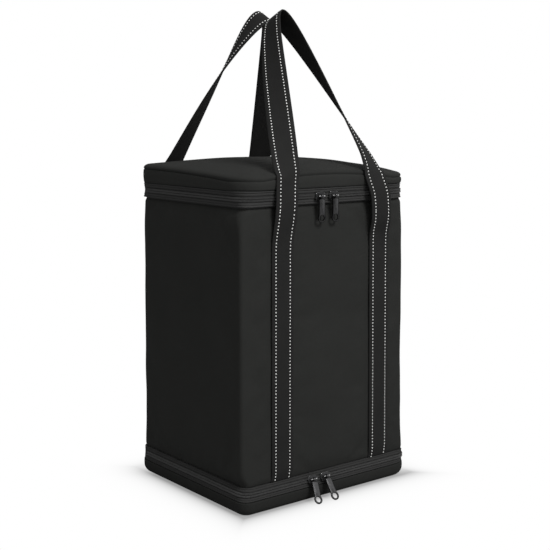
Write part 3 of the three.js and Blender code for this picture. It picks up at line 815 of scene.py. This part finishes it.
# %% [markdown]
# ## The zips
# A zip band is two woven tapes and, between them, two nylon coils. Across its width a tape is flat
# beside the coil, has a raised cord, a groove where it is stitched down, and a rolled edge that turns
# into the seam. The lid's band is upright and the base's band flares, so the same profile is laid along
# a line between two seams.


# %% A zip band between two seams
class Band:
    """A strip between two seams, each given as a distance out from the body's face and a height."""

    def __init__(self, foot, head, foot_corner, head_corner, bulge):
        foot, head = np.array(foot), np.array(head)
        self.foot_corner, self.head_corner, self.bulge = foot_corner, head_corner, bulge
        self.middle = (foot + head) / 2
        self.half = np.linalg.norm(head - foot) / 2
        self.up = (head - foot) / (2 * self.half)
        self.out = np.array([self.up[1], -self.up[0]])

    def at(self, along, proud):
        along = np.asarray(along, float)
        proud = proud + np.interp(along / self.half, (-1, 0, 1), self.bulge)
        return self.middle + along[..., None] * self.up + proud[..., None] * self.out

    def round_the_bag(self, run, along, proud):
        line = self.at(along, proud)
        share = (1 + along / self.half) / 2
        foot, head = by_corner(run, **self.foot_corner), by_corner(run, **self.head_corner)
        return wrap(run, line[:, 0], line[:, 1], foot + (head - foot) * share)


SEAM_GAP = 0.3 * MM
TAPE_PROUD = 1.2 * MM
TAPE = 0.7 * MM
lid_band = Band(
    (TAPE_PROUD, BODY_TOP + SEAM_GAP), (TAPE_PROUD, LID_FOOT - SEAM_GAP),
    corners(10 * MM, 23 * MM, 18 * MM), corners(20 * MM, 28 * MM, 23 * MM), (0.5 * MM, 0.3 * MM, 2.0 * MM))
base_band = Band(
    (BASE_PROUD - FABRIC, BASE_SEAM + SEAM_GAP), (TAPE_PROUD, BODY_FOOT - SEAM_GAP),
    BASE_CORNER, corners(12 * MM, 8 * MM, 8 * MM), (0.2 * MM, 0.4 * MM, 0.3 * MM))
ZIPS = (("lid", lid_band, tape_black, "bag_body", "lid"), ("base", base_band, base_tape_painted_shade, "base", "bag_body"))
TAPE_LINE = [
    (0.004, -1.4), (0.004, -0.2), (0.03, 0.0), (0.29, 0.0), (0.34, 0.1), (0.375, -0.45), (0.4, -0.45),
    (0.43, 0.1), (0.47, 0.25), (0.64, 0.25), (0.69, 0.1), (0.72, -0.25), (0.74, -0.25), (0.77, 0.15),
    (0.82, 0.4), (0.9, 0.4), (0.95, 0.1), (0.98, -0.9), (0.99, -3.0), (1.2, -3.6),
]


def sew_tape(place, word, band, side, finish, body):
    share, proud = np.array(TAPE_LINE).T
    points = band.round_the_bag(three_sides, side * share * band.half, proud * MM)
    tape = sew(f"{place}_zip_tape_{word}", points if side > 0 else points[:, ::-1])
    thicken(tape, TAPE)
    smooth(tape, 40)
    hand_over(tape, finish, body, [f"{place}_zip_{word}_tape", f"{place}_hinge_strip_{word}"])


for place, band, finish, lower, upper in ZIPS:
    sew_tape(place, "lower", band, -1, finish, lower)
    sew_tape(place, "upper", band, 1, finish, upper)

# %% [markdown]
# ## Fabric hinges
# At the back the zip stops, and a plain strip of cloth joins the two sides and works as the hinge. It
# is one piece, laid round the back from one seam to the other, and it keeps that place.

# %% Hinge strips at the back
HINGE_FOLD = 3.0 * MM
HINGE_LINE = soft_line([
    (-1.2, -2.8), (-0.99, -2.0), (-0.97, -0.4), (-0.86, 0.35), (-0.5, 0.3), (0.0, 0.25), (0.5, 0.3),
    (0.86, 0.35), (0.97, -0.4), (0.99, -2.0), (1.2, -2.8),
], 40)


def mean_size(points):
    """A sheet's flat size: its mean length along and across, measured on the sheet."""
    steps = [np.linalg.norm(np.diff(points, axis=axis), axis=-1) for axis in (0, 1)]
    return [float(length.sum(axis=axis).mean()) for axis, length in enumerate(steps)]


def sew_hinge(name, band, lower, upper):
    points = band.round_the_bag(back_side, HINGE_LINE[:, 0] * band.half, HINGE_LINE[:, 1] * MM)
    strip = sew(name, points)
    thicken(strip, FABRIC * 0.7)
    smooth(strip)
    mean_size(points)
    fold = [band.at(shift, 0.0) for shift in (-HINGE_FOLD, HINGE_FOLD)]
    start, end = [(0, HALF_DEPTH + proud, height) for proud, height in fold]
    hand_over(strip, cloth_black, (lower, upper, start, end))


for place, band, finish, lower, upper in ZIPS:
    sew_hinge(f"{place}_hinge_cloth", band, lower, upper)

# %% [markdown]
# ## Many small copies
# Coil teeth and stitches repeat by the hundred. One is modelled from a primitive with a few
# dozen faces, and its copies are laid along a line, each turned to the line's direction, then kept as
# one mesh.


# %% Copying a small piece along a line
BAR_SIDES = 8
NEARBY = 0.2 * MM


def unit(vectors):
    return vectors / np.linalg.norm(vectors, axis=-1, keepdims=True)


def lay_copies(name, pattern, middles, along, across, out):
    """Copies a pattern to each middle, with its x along the line, y across it and z out of the cloth."""
    shape = np.array([vertex.co for vertex in pattern.data.vertices])
    faces = [tuple(face.vertices) for face in pattern.data.polygons]
    axes = np.stack([along, across, out], axis=1)
    points = middles[:, None, :] + np.einsum("vk,nkc->nvc", shape, axes)
    firsts = range(0, len(middles) * len(shape), len(shape))
    every = [tuple(corner + first for corner in face) for first in firsts for face in faces]
    mesh = bpy.data.meshes.new(name)
    mesh.from_pydata(points.reshape(-1, 3).tolist(), [], every)
    piece = new_piece(name, mesh)
    smooth(piece, 80)
    return piece


def even_places(line, pitch, values):
    """Places at an even pitch along a line of points, with the line's way and some other values at each."""
    reach = running(np.linalg.norm(np.diff(line, axis=0), axis=1))
    spots = np.arange(pitch / 2, reach[-1], pitch)

    def at(spots, values):
        return np.stack([np.interp(spots, reach, column) for column in values.T], axis=1)

    way = at(spots + NEARBY, line) - at(spots - NEARBY, line)
    return at(spots, line), unit(way), at(spots, values)


def rounded_bar(length, width, height, belly):
    """A short bar along x with rounded ends, from a cylinder whose ends are drawn in."""
    bpy.ops.object.select_all(action="DESELECT")
    bpy.ops.mesh.primitive_cylinder_add(vertices=BAR_SIDES, radius=0.5, depth=1, rotation=(0, math.pi / 2, 0))
    bar = bpy.context.object
    bar.scale = (width, width, length)
    bpy.ops.object.transform_apply(location=True, rotation=True, scale=True)
    with EditMode():
        bpy.ops.mesh.select_all(action="SELECT")
        bpy.ops.transform.resize(value=(1, 1, height / width))
        bpy.ops.mesh.select_all(action="DESELECT")
    for face in bar.data.polygons:
        face.select = abs(face.normal.x) > 0.9
    with EditMode():
        bpy.ops.mesh.extrude_region_shrink_fatten(TRANSFORM_OT_shrink_fatten={"value": 0.0})
    for vertex in bar.data.vertices:
        if vertex.select:
            vertex.co.y *= belly
            vertex.co.z *= belly
        else:
            vertex.co.x *= 1 - 0.5 * width / length
    return bar


stitch = rounded_bar(1.6 * MM, 1.35 * MM, 0.9 * MM, 0.45)
fine_stitch = rounded_bar(1.7 * MM, 0.7 * MM, 0.5 * MM, 0.45)
tooth = rounded_bar(2.3 * MM, 1.15 * MM, 1.3 * MM, 0.6)
print("stitch", len(stitch.data.polygons), "faces; tooth", len(tooth.data.polygons), "faces")

# %% [markdown]
# ## Coil teeth
# A coil is one stiff thread wound round and round. From the front only its near turns show, as a row of
# short bars. The two rows meet in the middle of the band, where the zip parts.

# %% The zips' coils
TOOTH_PITCH = 1.4 * MM
TOOTH_ALONG = 1.3 * MM
TOOTH_PROUD = 0.7 * MM
COIL_END = HALF_BACK + CORNER_STEPS
coil_run = stations[COIL_END:-COIL_END]


def lay_coil(place, word, band, side, body):
    line = band.round_the_bag(coil_run, np.array([side * TOOTH_ALONG]), TOOTH_PROUD)[:, 0]
    places, way, upright = even_places(line, TOOTH_PITCH, np.tile((0.0, 0.0, 1.0), (len(line), 1)))
    up = np.cross(way, upright) * band.up[0] + upright * band.up[1]
    coil = lay_copies(f"{place}_zip_teeth_{word}", tooth, places, up, -way, np.cross(way, up))
    hand_over(coil, coil_black, body, [f"{place}_zip_{word}_coil"])


for place, band, finish, lower, upper in ZIPS:
    lay_coil(place, "lower", band, -1, lower)
    lay_coil(place, "upper", band, 1, upper)

# %% [markdown]
# ## Webbing
# Each handle is one strip of webbing: sewn up the body, free beside the lid, then over the top with a
# quarter turn on each leg. Webbing is modelled directly, as a grid that follows a line, because its
# flat edges and its twist are what shows. It is cut half way up each free leg, so each handle is a left
# leg, a loop and a right leg, and each piece keeps its place.

# %% The two handles
ROOT_PROUD = 5.4 * MM
ROOT_HEIGHT = LID_SEAM + 1 * MM
HANDLE_GAP = 1 * MM
HANDLE_SHIFT = 8.5 * MM
USUAL_BOW = (8.0, 1.0, 2)


class Handle:
    """One handle. Facing is -1 at the front and 1 at the back. Left and right hold a leg's place from the
    bag's middle: at the foot, at the sewn top and at the fold. Right_bow holds how far the right leg stands
    off the body, how soon it gets there and the power of its slant. Lean moves the top of the loop to the
    right, and the right leg is pulled in at the lid's rim. Lengths are in millimetres, the slope across the
    top in degrees."""

    def __init__(self, facing, left, right, right_bow, lean, rim_pull, rise, rounding, tilt,
                 low_turn, turn_power):
        self.facing, self.left, self.right = facing, np.array(left) * MM, np.array(right) * MM
        self.right_bow = right_bow
        self.lean, self.rim_pull, self.rise, self.rounding = lean * MM, rim_pull * MM, rise * MM, rounding
        self.tilt, self.low_turn, self.turn_power = math.radians(tilt), low_turn, turn_power
        reach = (STRAP_WIDTH * math.cos(self.tilt) + STRAP_THICKNESS + HANDLE_GAP) / 2
        self.root = facing * (HALF_DEPTH + ROOT_PROUD)
        self.apex = facing * reach + HANDLE_SHIFT

    def climb(self, u):
        soft = np.hypot(u, self.rounding) - self.rounding
        return np.clip(1 - soft / (math.hypot(1, self.rounding) - self.rounding), 0, 1)

    def route(self, u):
        rise = self.climb(u)
        x = np.abs(u) * np.where(u < 0, self.left[-1], self.right[-1]) + self.lean * rise
        y = self.root + (self.apex - self.root) * rise
        return np.column_stack([x, y, ROOT_HEIGHT + self.rise * rise])

    def turned(self, u):
        rise = self.climb(u)
        return math.pi / 2 * (self.low_turn * rise ** self.turn_power + (1 - self.low_turn) * rise ** 3)


front_handle = Handle(
    facing=-1, left=(-69.4, -69.4, -65.75), right=(77.0, 73.6, 65.75), right_bow=(11.2, 0.7, 0.6),
    lean=0, rim_pull=4.2, rise=179, rounding=0.33, tilt=24, low_turn=0.8, turn_power=0.54)
back_handle = Handle(
    facing=1, left=(-71.5, -71.5, -72), right=(71.5, 71.5, 63.3), right_bow=USUAL_BOW,
    lean=6.7, rim_pull=0, rise=180, rounding=0.61, tilt=29, low_turn=0.43, turn_power=0.39)
print("handles rise", front_handle.rise, back_handle.rise)

# %% Lines that the webbing follows
SEWN_STEPS, FREE_STEPS, LOOP_STEPS = 54, 30, 120
LEG_FOOT = SEWN_TOP + SEAM_GAP
FLAT_PROUD = SEAM_GAP + STRAP_THICKNESS / 2 + 0.4 * MM
FOOT_DIP, FOOT_DIP_REACH = 2.0 * MM, 6 * MM
HANDLE_SQUARE = 0.15
BEND_REACH, BEND_ROOM = 10 * MM, 24 * MM
RIM_ROOM, RIM_ROOM_RISE, RIM_ROOM_REACH = 1.0 * MM, 3 * MM, 9 * MM
PULL_ABOVE, PULL_BELOW = 13 * MM, 20 * MM


def side_line(handle, leg, bow):
    """Up one side of the bag: the sewn run, then the free stretch beside the lid up to the fold."""
    foot, top, root = leg
    standoff, climb, power = bow[0] * MM, bow[1] * (BODY_TOP - LEG_FOOT), bow[2]
    sewn = np.linspace(BODY_FOOT, SEWN_TOP, SEWN_STEPS)
    free = soft_line([
        (FLAT_PROUD, LEG_FOOT),
        (FLAT_PROUD + 0.45 * (standoff - FLAT_PROUD), LEG_FOOT + 0.33 * climb),
        (FLAT_PROUD + 0.86 * (standoff - FLAT_PROUD), LEG_FOOT + 0.66 * climb),
        (standoff, BODY_TOP + 2 * MM),
        (standoff - 0.8 * MM, lid_band.middle[1] + 6 * MM),
        (ROOT_PROUD, ROOT_HEIGHT - SEAM_GAP),
    ], FREE_STEPS)
    flat = FLAT_PROUD - FOOT_DIP * np.exp(-(((sewn - BODY_FOOT) / FOOT_DIP_REACH) ** 2))
    proud, height = np.concatenate([np.column_stack([flat, sewn]), free]).T
    share = np.clip((height - LEG_FOOT) / (ROOT_HEIGHT - LEG_FOOT), 0, 1)
    x = np.interp(height, (BODY_FOOT, SEWN_TOP), (foot, top)) + (root - top) * share ** power
    return np.column_stack([x, handle.facing * HALF_DEPTH + handle.facing * proud, height])


def loop_line(handle):
    """The loop over the lid: middles, and the way across the webbing, from the left root to the right one."""
    u = np.linspace(-1, 1, LOOP_STEPS + 1)
    along = unit(handle.route(np.minimum(1, u + 1e-3)) - handle.route(np.maximum(-1, u - 1e-3)))
    turned = handle.turned(u)
    side = np.where(u < 0, -1.0, 1.0)
    inward = np.array([0, -handle.facing * math.cos(handle.tilt), -math.sin(handle.tilt)])
    flat = np.column_stack([side * np.cos(turned), 0 * u, 0 * u]) + np.sin(turned)[:, None] * inward
    square = unit(flat - along * np.sum(flat * along, axis=1, keepdims=True))
    share = np.clip((1 - np.abs(u)) / HANDLE_SQUARE, 0, 1)
    settled = (share * share * (3 - 2 * share))[:, None]
    return handle.route(u), unit(flat + (square - flat) * settled)


def whole_line(handle):
    """The whole strip, from the left foot over the top to the right one, with its bends softened."""
    left = side_line(handle, handle.left, USUAL_BOW)
    right = side_line(handle, handle.right, handle.right_bow)[::-1]
    middles, across = loop_line(handle)
    line = np.concatenate([left[:-1], middles, right[1:]])
    outside = np.tile((1.0, 0.0, 0.0), (len(left) - 1, 1))
    spot = running(np.linalg.norm(np.diff(line, axis=0), axis=1))
    weight = np.exp(-(((spot[:, None] - spot) / BEND_REACH) ** 2)) * np.gradient(spot)
    soft = weight @ line / weight.sum(axis=1, keepdims=True)
    height = line[:, 2]
    bends = [np.exp(-(((height - level) / BEND_ROOM) ** 4)) for level in (SEWN_TOP, ROOT_HEIGHT)]
    line = line + (soft - line) * np.maximum(*bends)[:, None]
    over_rim = np.exp(-(((height - ROOT_HEIGHT - RIM_ROOM_RISE) / RIM_ROOM_REACH) ** 2))
    line[:, 1] += handle.facing * RIM_ROOM * over_rim
    above = height - ROOT_HEIGHT
    pulled = np.exp(-((above / np.where(above > 0, PULL_ABOVE, PULL_BELOW)) ** 2)) * (line[:, 0] > 0)
    line[:, 0] -= handle.rim_pull * pulled
    return line, np.concatenate([-outside, across, outside])


# %% [markdown]
# ## Sewing the webbing
# A strip is a grid too: its columns run along the line and its rows go round its section, with the
# edges turned down a little. The pale thread runs in two rows on the outer face, so the same line gives
# each stitch its place.

# %% Webbing pieces and their stitches
WEB_CURL = 0.35 * MM
STITCH_ROW = 9.9 * MM
STITCH_PITCH = 3.8 * MM
STITCH_LIFT = 0.05 * MM
BOX_SIZE = 18 * MM
BOX_PITCH = 2.4 * MM
BOX_DROP = 1 * MM
BOX_SEAMS = ((0, 1), (1, 2), (2, 3), (3, 0), (0, 2), (1, 3))
BOX_STEPS = 9
SEWN_BEND = 3 * MM
RIM_BEND = (-1 * MM, 13 * MM)
LEG_CUT = SEWN_STEPS + FREE_STEPS // 2


def web_frame(line, across, facing):
    """The way straight across the webbing and the way out of it, at each place of its line."""
    along = unit(np.gradient(line, axis=0))
    across = unit(across - along * np.sum(across * along, axis=1, keepdims=True))
    return across, -facing * np.cross(along, across)


def web_section():
    """Round the webbing once, as places across it and out of it: outer face, an edge, inner face, an edge."""
    half, thick = STRAP_WIDTH / 2, STRAP_THICKNESS / 2
    face = np.linspace(-0.96, 0.96, 9) * half
    outer = np.column_stack([face, np.full_like(face, thick)])
    edge = np.array([(0.99 * half, 0.6 * thick), (half, 0), (0.99 * half, -0.6 * thick)])
    section = np.concatenate([outer, edge, -outer, -edge, outer[:1]])
    section[:, 1] -= WEB_CURL * (np.abs(section[:, 0]) / half) ** 4
    return section


def sew_web(name, line, across, facing, body, nodes):
    across, out = web_frame(line, across, facing)
    section = web_section()
    sideways = facing * across[:, None] * section[None, :, :1]
    web = sew(name, line[:, None] - sideways + out[:, None] * section[None, :, 1:])
    with EditMode():
        bpy.ops.mesh.select_all(action="SELECT")
        bpy.ops.mesh.fill_holes(sides=0)
    smooth(web, 60)
    hand_over(web, webbing_black, body, nodes)


def lay_rows(name, pattern, pitch, rows):
    """Lays stitches on rows of points, each row with the way out of the cloth along it."""
    laid = []
    for row, out in rows:
        places, way, face = even_places(row, pitch, out)
        face = unit(face)
        laid.append((places, way, np.cross(face, way), face))
    return lay_copies(name, pattern, *[np.concatenate(parts) for parts in zip(*laid)])


def lay_stitches(name, line, across, facing, body):
    across, out = web_frame(line, across, facing)
    lift = out * (STRAP_THICKNESS / 2 + STITCH_LIFT)
    rows = [(line + across * side * STITCH_ROW + lift, out) for side in (-1, 1)]
    hand_over(lay_rows(name, stitch, STITCH_PITCH, rows), thread_pale, body)


def lay_box_stitch(name, leg, facing):
    """A box with a cross in dark thread, where a strap is sewn down for the last time."""
    half = BOX_SIZE / 2
    proud = HALF_DEPTH + FLAT_PROUD + STRAP_THICKNESS / 2
    middle = np.array([leg[1], facing * proud, SEWN_TOP - half - BOX_DROP])
    corner = [middle + np.array([x * half, 0, z * half]) for x, z in ((-1, -1), (1, -1), (1, 1), (-1, 1))]
    out = np.tile((0.0, float(facing), 0.0), (BOX_STEPS, 1))
    rows = [(np.linspace(corner[start], corner[end], BOX_STEPS), out) for start, end in BOX_SEAMS]
    hand_over(lay_rows(name, fine_stitch, BOX_PITCH, rows), thread_dark, "bag_body")


def add_handle(label, handle):
    legs, loop = f"{label}_handle_legs", f"{label}_handle"
    line, across = whole_line(handle)
    fold = (0, handle.facing * HALF_DEPTH)
    at_sewn_top = ("bag_body", legs, (*fold, SEWN_TOP - SEWN_BEND), (*fold, LEG_FOOT + SEWN_BEND))
    at_rim = (legs, loop, *[(0, 0, ROOT_HEIGHT + shift) for shift in RIM_BEND])
    left, right = [[f"{label}_{word}_strap", f"{label}_handle_{word}_leg"] for word in ("left", "right")]
    pieces = [
        ("left", slice(0, LEG_CUT + 1), at_sewn_top, left),
        ("loop", slice(LEG_CUT, -LEG_CUT), at_rim, [f"{label}_handle_loop"]),
        ("right", slice(-LEG_CUT - 1, None), at_sewn_top, right),
    ]
    for word, part, bend, nodes in pieces:
        sew_web(f"{label}_{word}_webbing", line[part], across[part], handle.facing, bend, nodes)
        lay_stitches(f"{label}_{word}_stitches", line[part], across[part], handle.facing, bend)
    lay_box_stitch(f"{label}_left_box_stitch", handle.left, handle.facing)
    lay_box_stitch(f"{label}_right_box_stitch", handle.right, handle.facing)


add_handle("front", front_handle)
add_handle("back", back_handle)

# %% [markdown]
# ## Sliders
# A slider is cast metal, and its solid already has the right outline. So a copy of it is cleaned up, a
# bevel breaks every sharp edge, and the edges and the bridge, which stand furthest out, get a pale metal
# that is a painted highlight.

# %% Sliders from the frame's own solids
HIGHLIGHT_SLOT = 1
HIGHLIGHT_DEPTH = 1.0 * MM
SLIDER_EDGE = 0.2 * MM


def copy_of(node, name):
    piece = new_piece(name, frame["nodes"][node].data.copy())
    tidy_mesh(piece)
    return piece


def paint_front_highlight(piece, band):
    """The part of a slider that stands furthest out gets the pale metal of a painted highlight."""
    facing = Vector((0, -band.out[0], band.out[1]))
    front = max(point.co.dot(facing) for point in piece.data.vertices)
    for face in piece.data.polygons:
        if face.center.dot(facing) > front - HIGHLIGHT_DEPTH:
            face.material_index = HIGHLIGHT_SLOT


def add_slider(place, word, band):
    node = f"{place}_{word}_slider"
    piece = copy_of(node, f"{place}_{word}_zip_slider")
    dress(piece, gunmetal, painted_highlight_metal)
    # The bevels get the pale metal: painted highlights along the edges.
    bevel(piece, SLIDER_EDGE, 2, 35, material=HIGHLIGHT_SLOT)
    paint_front_highlight(piece, band)
    smooth(piece, 40)
    apply_modifier(piece, "WEIGHTED_NORMAL", keep_sharp=True)
    hand_over(piece, None, f"{place}_slider_{word}", [node])


for place, band, finish, lower, upper in ZIPS:
    add_slider(place, "left", band)
    add_slider(place, "right", band)

# %% [markdown]
# ## Pulls
# A pull is a stamped plate with a ring at its end, a raised rim all round and an eye that hangs on the
# slider's bridge. A flat curve suits a stamping: its loops are filled, every second one is a hole, and
# the curve's own extrude and bevel give the plate its thickness and its rounded edges. The plate, the
# rim and the eye are three such curves.

# %% The outlines of a pull
PULL_LENGTH = 29.5 * MM
PULL_HALF = 4.2 * MM
PULL_SHOULDER = 3.6 * MM
PULL_THICKNESS = 1.4 * MM
RING_RADIUS = 5.2 * MM
RING_HOLE = 3.3 * MM
EYE_HOLE = 1.7 * MM
EYE_OUTER = 2.5 * MM
EYE_LENGTH = 2.4 * MM
EYE_MIDDLE = -0.6 * MM
RIM_WIDTH = 0.55 * MM
RIM_HEIGHT = 0.15 * MM
PLATE_EDGE, RIM_EDGE, EYE_EDGE = 0.1 * MM, 0.15 * MM, 0.2 * MM
PULL_TIP = RING_RADIUS - PULL_LENGTH
PULL_TOP = EYE_MIDDLE - (EYE_HOLE + EYE_OUTER) / 2


def ring_loop(radius, middle, start=0.0, sweep=2 * math.pi, steps=40):
    turn = start + sweep * np.arange(steps) / steps
    return np.column_stack([radius * np.cos(turn), middle + radius * np.sin(turn)])


def pull_loop(inset):
    """Round a pull once: down its left side, round the ring and up its right side."""
    half, radius = PULL_HALF - inset, RING_RADIUS - inset
    meet = math.acos(half / radius)
    ring = ring_loop(radius, PULL_TIP, math.pi - meet, math.pi + 2 * meet + math.pi / 20, 42)
    neck = EYE_LENGTH / 2 - inset / 2
    left = np.array([(neck, PULL_TOP - inset), (-neck, PULL_TOP - inset), (-half, -PULL_SHOULDER - inset)])
    return np.concatenate([left, ring, [(half, -PULL_SHOULDER - inset)]])


def stamp(name, loops, thickness, edge, finish):
    """Fills flat loops, gives them their thickness and makes them a mesh."""
    curve = bpy.data.curves.new(name, "CURVE")
    curve.dimensions = "2D"
    curve.fill_mode = "BOTH"
    curve.extrude = thickness / 2 - edge
    curve.bevel_depth = edge
    curve.bevel_resolution = 1
    curve.offset = -edge
    for loop in loops:
        spline = curve.splines.new("POLY")
        spline.points.add(len(loop) - 1)
        spline.points.foreach_set("co", np.column_stack([loop, loop * 0 + (0, 1)]).ravel())
        spline.use_cyclic_u = True
    pick(new_piece(name, curve))
    bpy.ops.object.convert(target="MESH")
    piece = bpy.context.object
    dress(piece, finish)
    tidy_mesh(piece)
    return piece


print("pull outline", len(pull_loop(0)), "points")

# %% Pulls
BASE_LEAN = math.radians(35.85)
BASE_SWING = math.radians(13)


def model_pull(name):
    """A pull that hangs straight down from the origin, with its face towards z."""
    ring_hole = ring_loop(RING_HOLE, PULL_TIP)
    plate_loops = [pull_loop(PLATE_EDGE), ring_hole]
    plate = stamp(name, plate_loops, PULL_THICKNESS - 2 * RIM_HEIGHT, PLATE_EDGE, gunmetal)
    rim_loops = [pull_loop(0), pull_loop(RIM_WIDTH), ring_loop(RING_HOLE + RIM_WIDTH, PULL_TIP), ring_hole]
    # The rim gets the darker metal: painted shade round the pull's outline.
    rim = stamp(name + "_rim", rim_loops, PULL_THICKNESS, RIM_EDGE, painted_shade_rim)
    eye_loops = [ring_loop(EYE_OUTER, 0), ring_loop(EYE_HOLE, 0)]
    eye = stamp(name + "_eye", eye_loops, EYE_LENGTH, EYE_EDGE, gunmetal)
    eye.data.transform(Matrix.Translation((0, EYE_MIDDLE, 0)) @ Matrix.Rotation(math.pi / 2, 4, "Y"))
    pick(rim, eye, plate)
    bpy.ops.object.join()
    return plate


def add_pull(place, word, lean, swing):
    node = f"{place}_{word}_pull"
    joint = next(one for one in frame["record"]["behaviour"]["joints"] if one["name"] == f"{node}_swing")
    pull = model_pull(f"{place}_{word}_zip_pull")
    hang = Matrix.Rotation(math.pi / 2 - lean, 4, "X") @ Matrix.Rotation(-swing, 4, "Z")
    pull.data.transform(Matrix.Translation(joint["pos_m"]) @ hang)
    smooth(pull, 40)
    hand_over(pull, None, f"{place}_pull_{word}", [node])


for word, swing in (("left", BASE_SWING), ("right", 0.0)):
    add_pull("lid", word, 0.0, 0.0)
    add_pull("base", word, BASE_LEAN, swing)

# %% [markdown]
# ## Inside
# The inside shows when the lid or the base is open: a silver lining that reaches up to a bound mouth, a
# silver lid lining, a dark lining in the base and a padded divider. The foam lies hidden between the
# layers, but it is a piece like the rest.

# %% Lining and binding
LINING = 0.8 * MM
LINING_OUTER = -9.8 * MM
LINING_INNER = LINING_OUTER - LINING
LINING_FACE = LINING_OUTER - 0.3 * MM
LINING_SOLE_ROWS = 14
BODY_CORNER = 16 * MM
BINDING = 0.8 * MM
lining_low, lining_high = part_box("inner_lining")


def lining_points():
    line = soft_line([
        (LINING_OUTER - 4 * MM, lining_low.z + LINING),
        (LINING_OUTER - 1.2 * MM, lining_low.z + 1.6 * MM),
        (LINING_FACE, lining_low.z + 5 * MM),
        (LINING_FACE, lining_low.z + 100 * MM),
        (LINING_FACE, lining_high.z - 60 * MM),
        (LINING_FACE, lining_high.z),
    ], 60)
    side = wrap(stations, line[:, 0], line[:, 1], BODY_CORNER)
    points = with_sole(side, lining_low.z + LINING, LINING_SOLE_ROWS)
    crease = np.abs(ripple(points, 32 * MM, 0.9 * MM, 11.0))
    points[..., :2] *= (1 - crease / HALF_WIDTH)[..., None]
    return points


silver_liner = sew("silver_liner", lining_points())
thicken(silver_liner, LINING * 0.6)
smooth(silver_liner, 70)
hand_over(silver_liner, lining_silver, "bag_body", ["inner_lining"])

binding_line = soft_line([
    (LINING_INNER + 0.2 * MM, BODY_TOP - 1.6 * MM),
    (LINING_INNER + 0.2 * MM, BODY_TOP - 0.6 * MM),
    (LINING_INNER + 2 * MM, BODY_TOP + 0.1 * MM),
    (-5 * MM, BODY_TOP + 0.5 * MM),
    (-3 * MM, BODY_TOP + 1.2 * MM),
    (-0.9 * MM, BODY_TOP + 1.8 * MM),
], 16)[::-1]
mouth_band = sew("mouth_band", wrap(stations, binding_line[:, 0], binding_line[:, 1], BODY_CORNER))
thicken(mouth_band, BINDING)
smooth(mouth_band)
hand_over(mouth_band, webbing_black, "bag_body", ["mouth_binding"])

# %% Foam
FOAM_ROOM = 0.6 * MM
FOAM_EDGE = 1.0 * MM
WALL_TRIM = (1, 1, 0.97)


def add_pad(node, body, trim):
    pad = copy_of(node, f"{node}_pad")
    with EditMode():
        bpy.ops.mesh.select_all(action="SELECT")
        bpy.ops.transform.shrink_fatten(value=-FOAM_ROOM, use_even_offset=True)
        bpy.ops.transform.resize(value=trim, center_override=sum(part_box(node), Vector()) / 2)
    bevel(pad, FOAM_EDGE, 3, 35)
    smooth(pad, 45)
    hand_over(pad, foam_white, body, [node])


for side in ("front", "back", "left", "right"):
    add_pad(f"{side}_insulation", "bag_body", WALL_TRIM)
add_pad("floor_insulation", "bag_body", (1, 1, 1))
add_pad("lid_insulation", "lid", (0.95, 0.95, 0.7))

# %% [markdown]
# ## Lid lining, base lining and divider
# These are flat panels. Each keeps the outline of its solid, and its broad faces are inset, so that a
# padded field stands up inside a bound edge.


# %% Flat panels inside
def inset_broad_faces(piece, rim, depth):
    """Insets the two faces that most of a flat piece's surface lies on."""
    facing = max(piece.data.polygons, key=lambda face: face.area).normal.copy()
    bpy.context.tool_settings.mesh_select_mode = (False, False, True)
    for way in (facing, -facing):
        for face in piece.data.polygons:
            face.select = face.normal.dot(way) > 0.99
        with EditMode():
            bpy.ops.mesh.inset(thickness=rim, depth=depth, use_even_offset=True)


def add_panel(node, body, finish, border, rise, edge):
    panel = copy_of(node, f"{node}_cloth")
    inset_broad_faces(panel, border, 0.0)
    inset_broad_faces(panel, border * 0.4, rise)
    bevel(panel, edge, 2, 30)
    smooth(panel, 45)
    hand_over(panel, finish, body, [node])


add_panel("lid_lining", "lid", lining_silver, 8 * MM, 0.25 * MM, 0.2 * MM)
add_panel("base_lining", "base", lining_dark, 6 * MM, 0.25 * MM, 0.2 * MM)
for node in ("divider_long_panel", "divider_cross_panel"):
    add_panel(node, "divider", lining_dark, 7 * MM, 0.7 * MM, 0.6 * MM)
for board in ("floor_panel", "base_board"):
    dress(frame["nodes"][board], board_grey)

# %% [markdown]
# ## Hand the bag back
# The patterns for the copies aren't part of the bag, so they go.

# %% The end
for pattern in (stitch, fine_stitch, tooth):
    bpy.data.objects.remove(pattern)
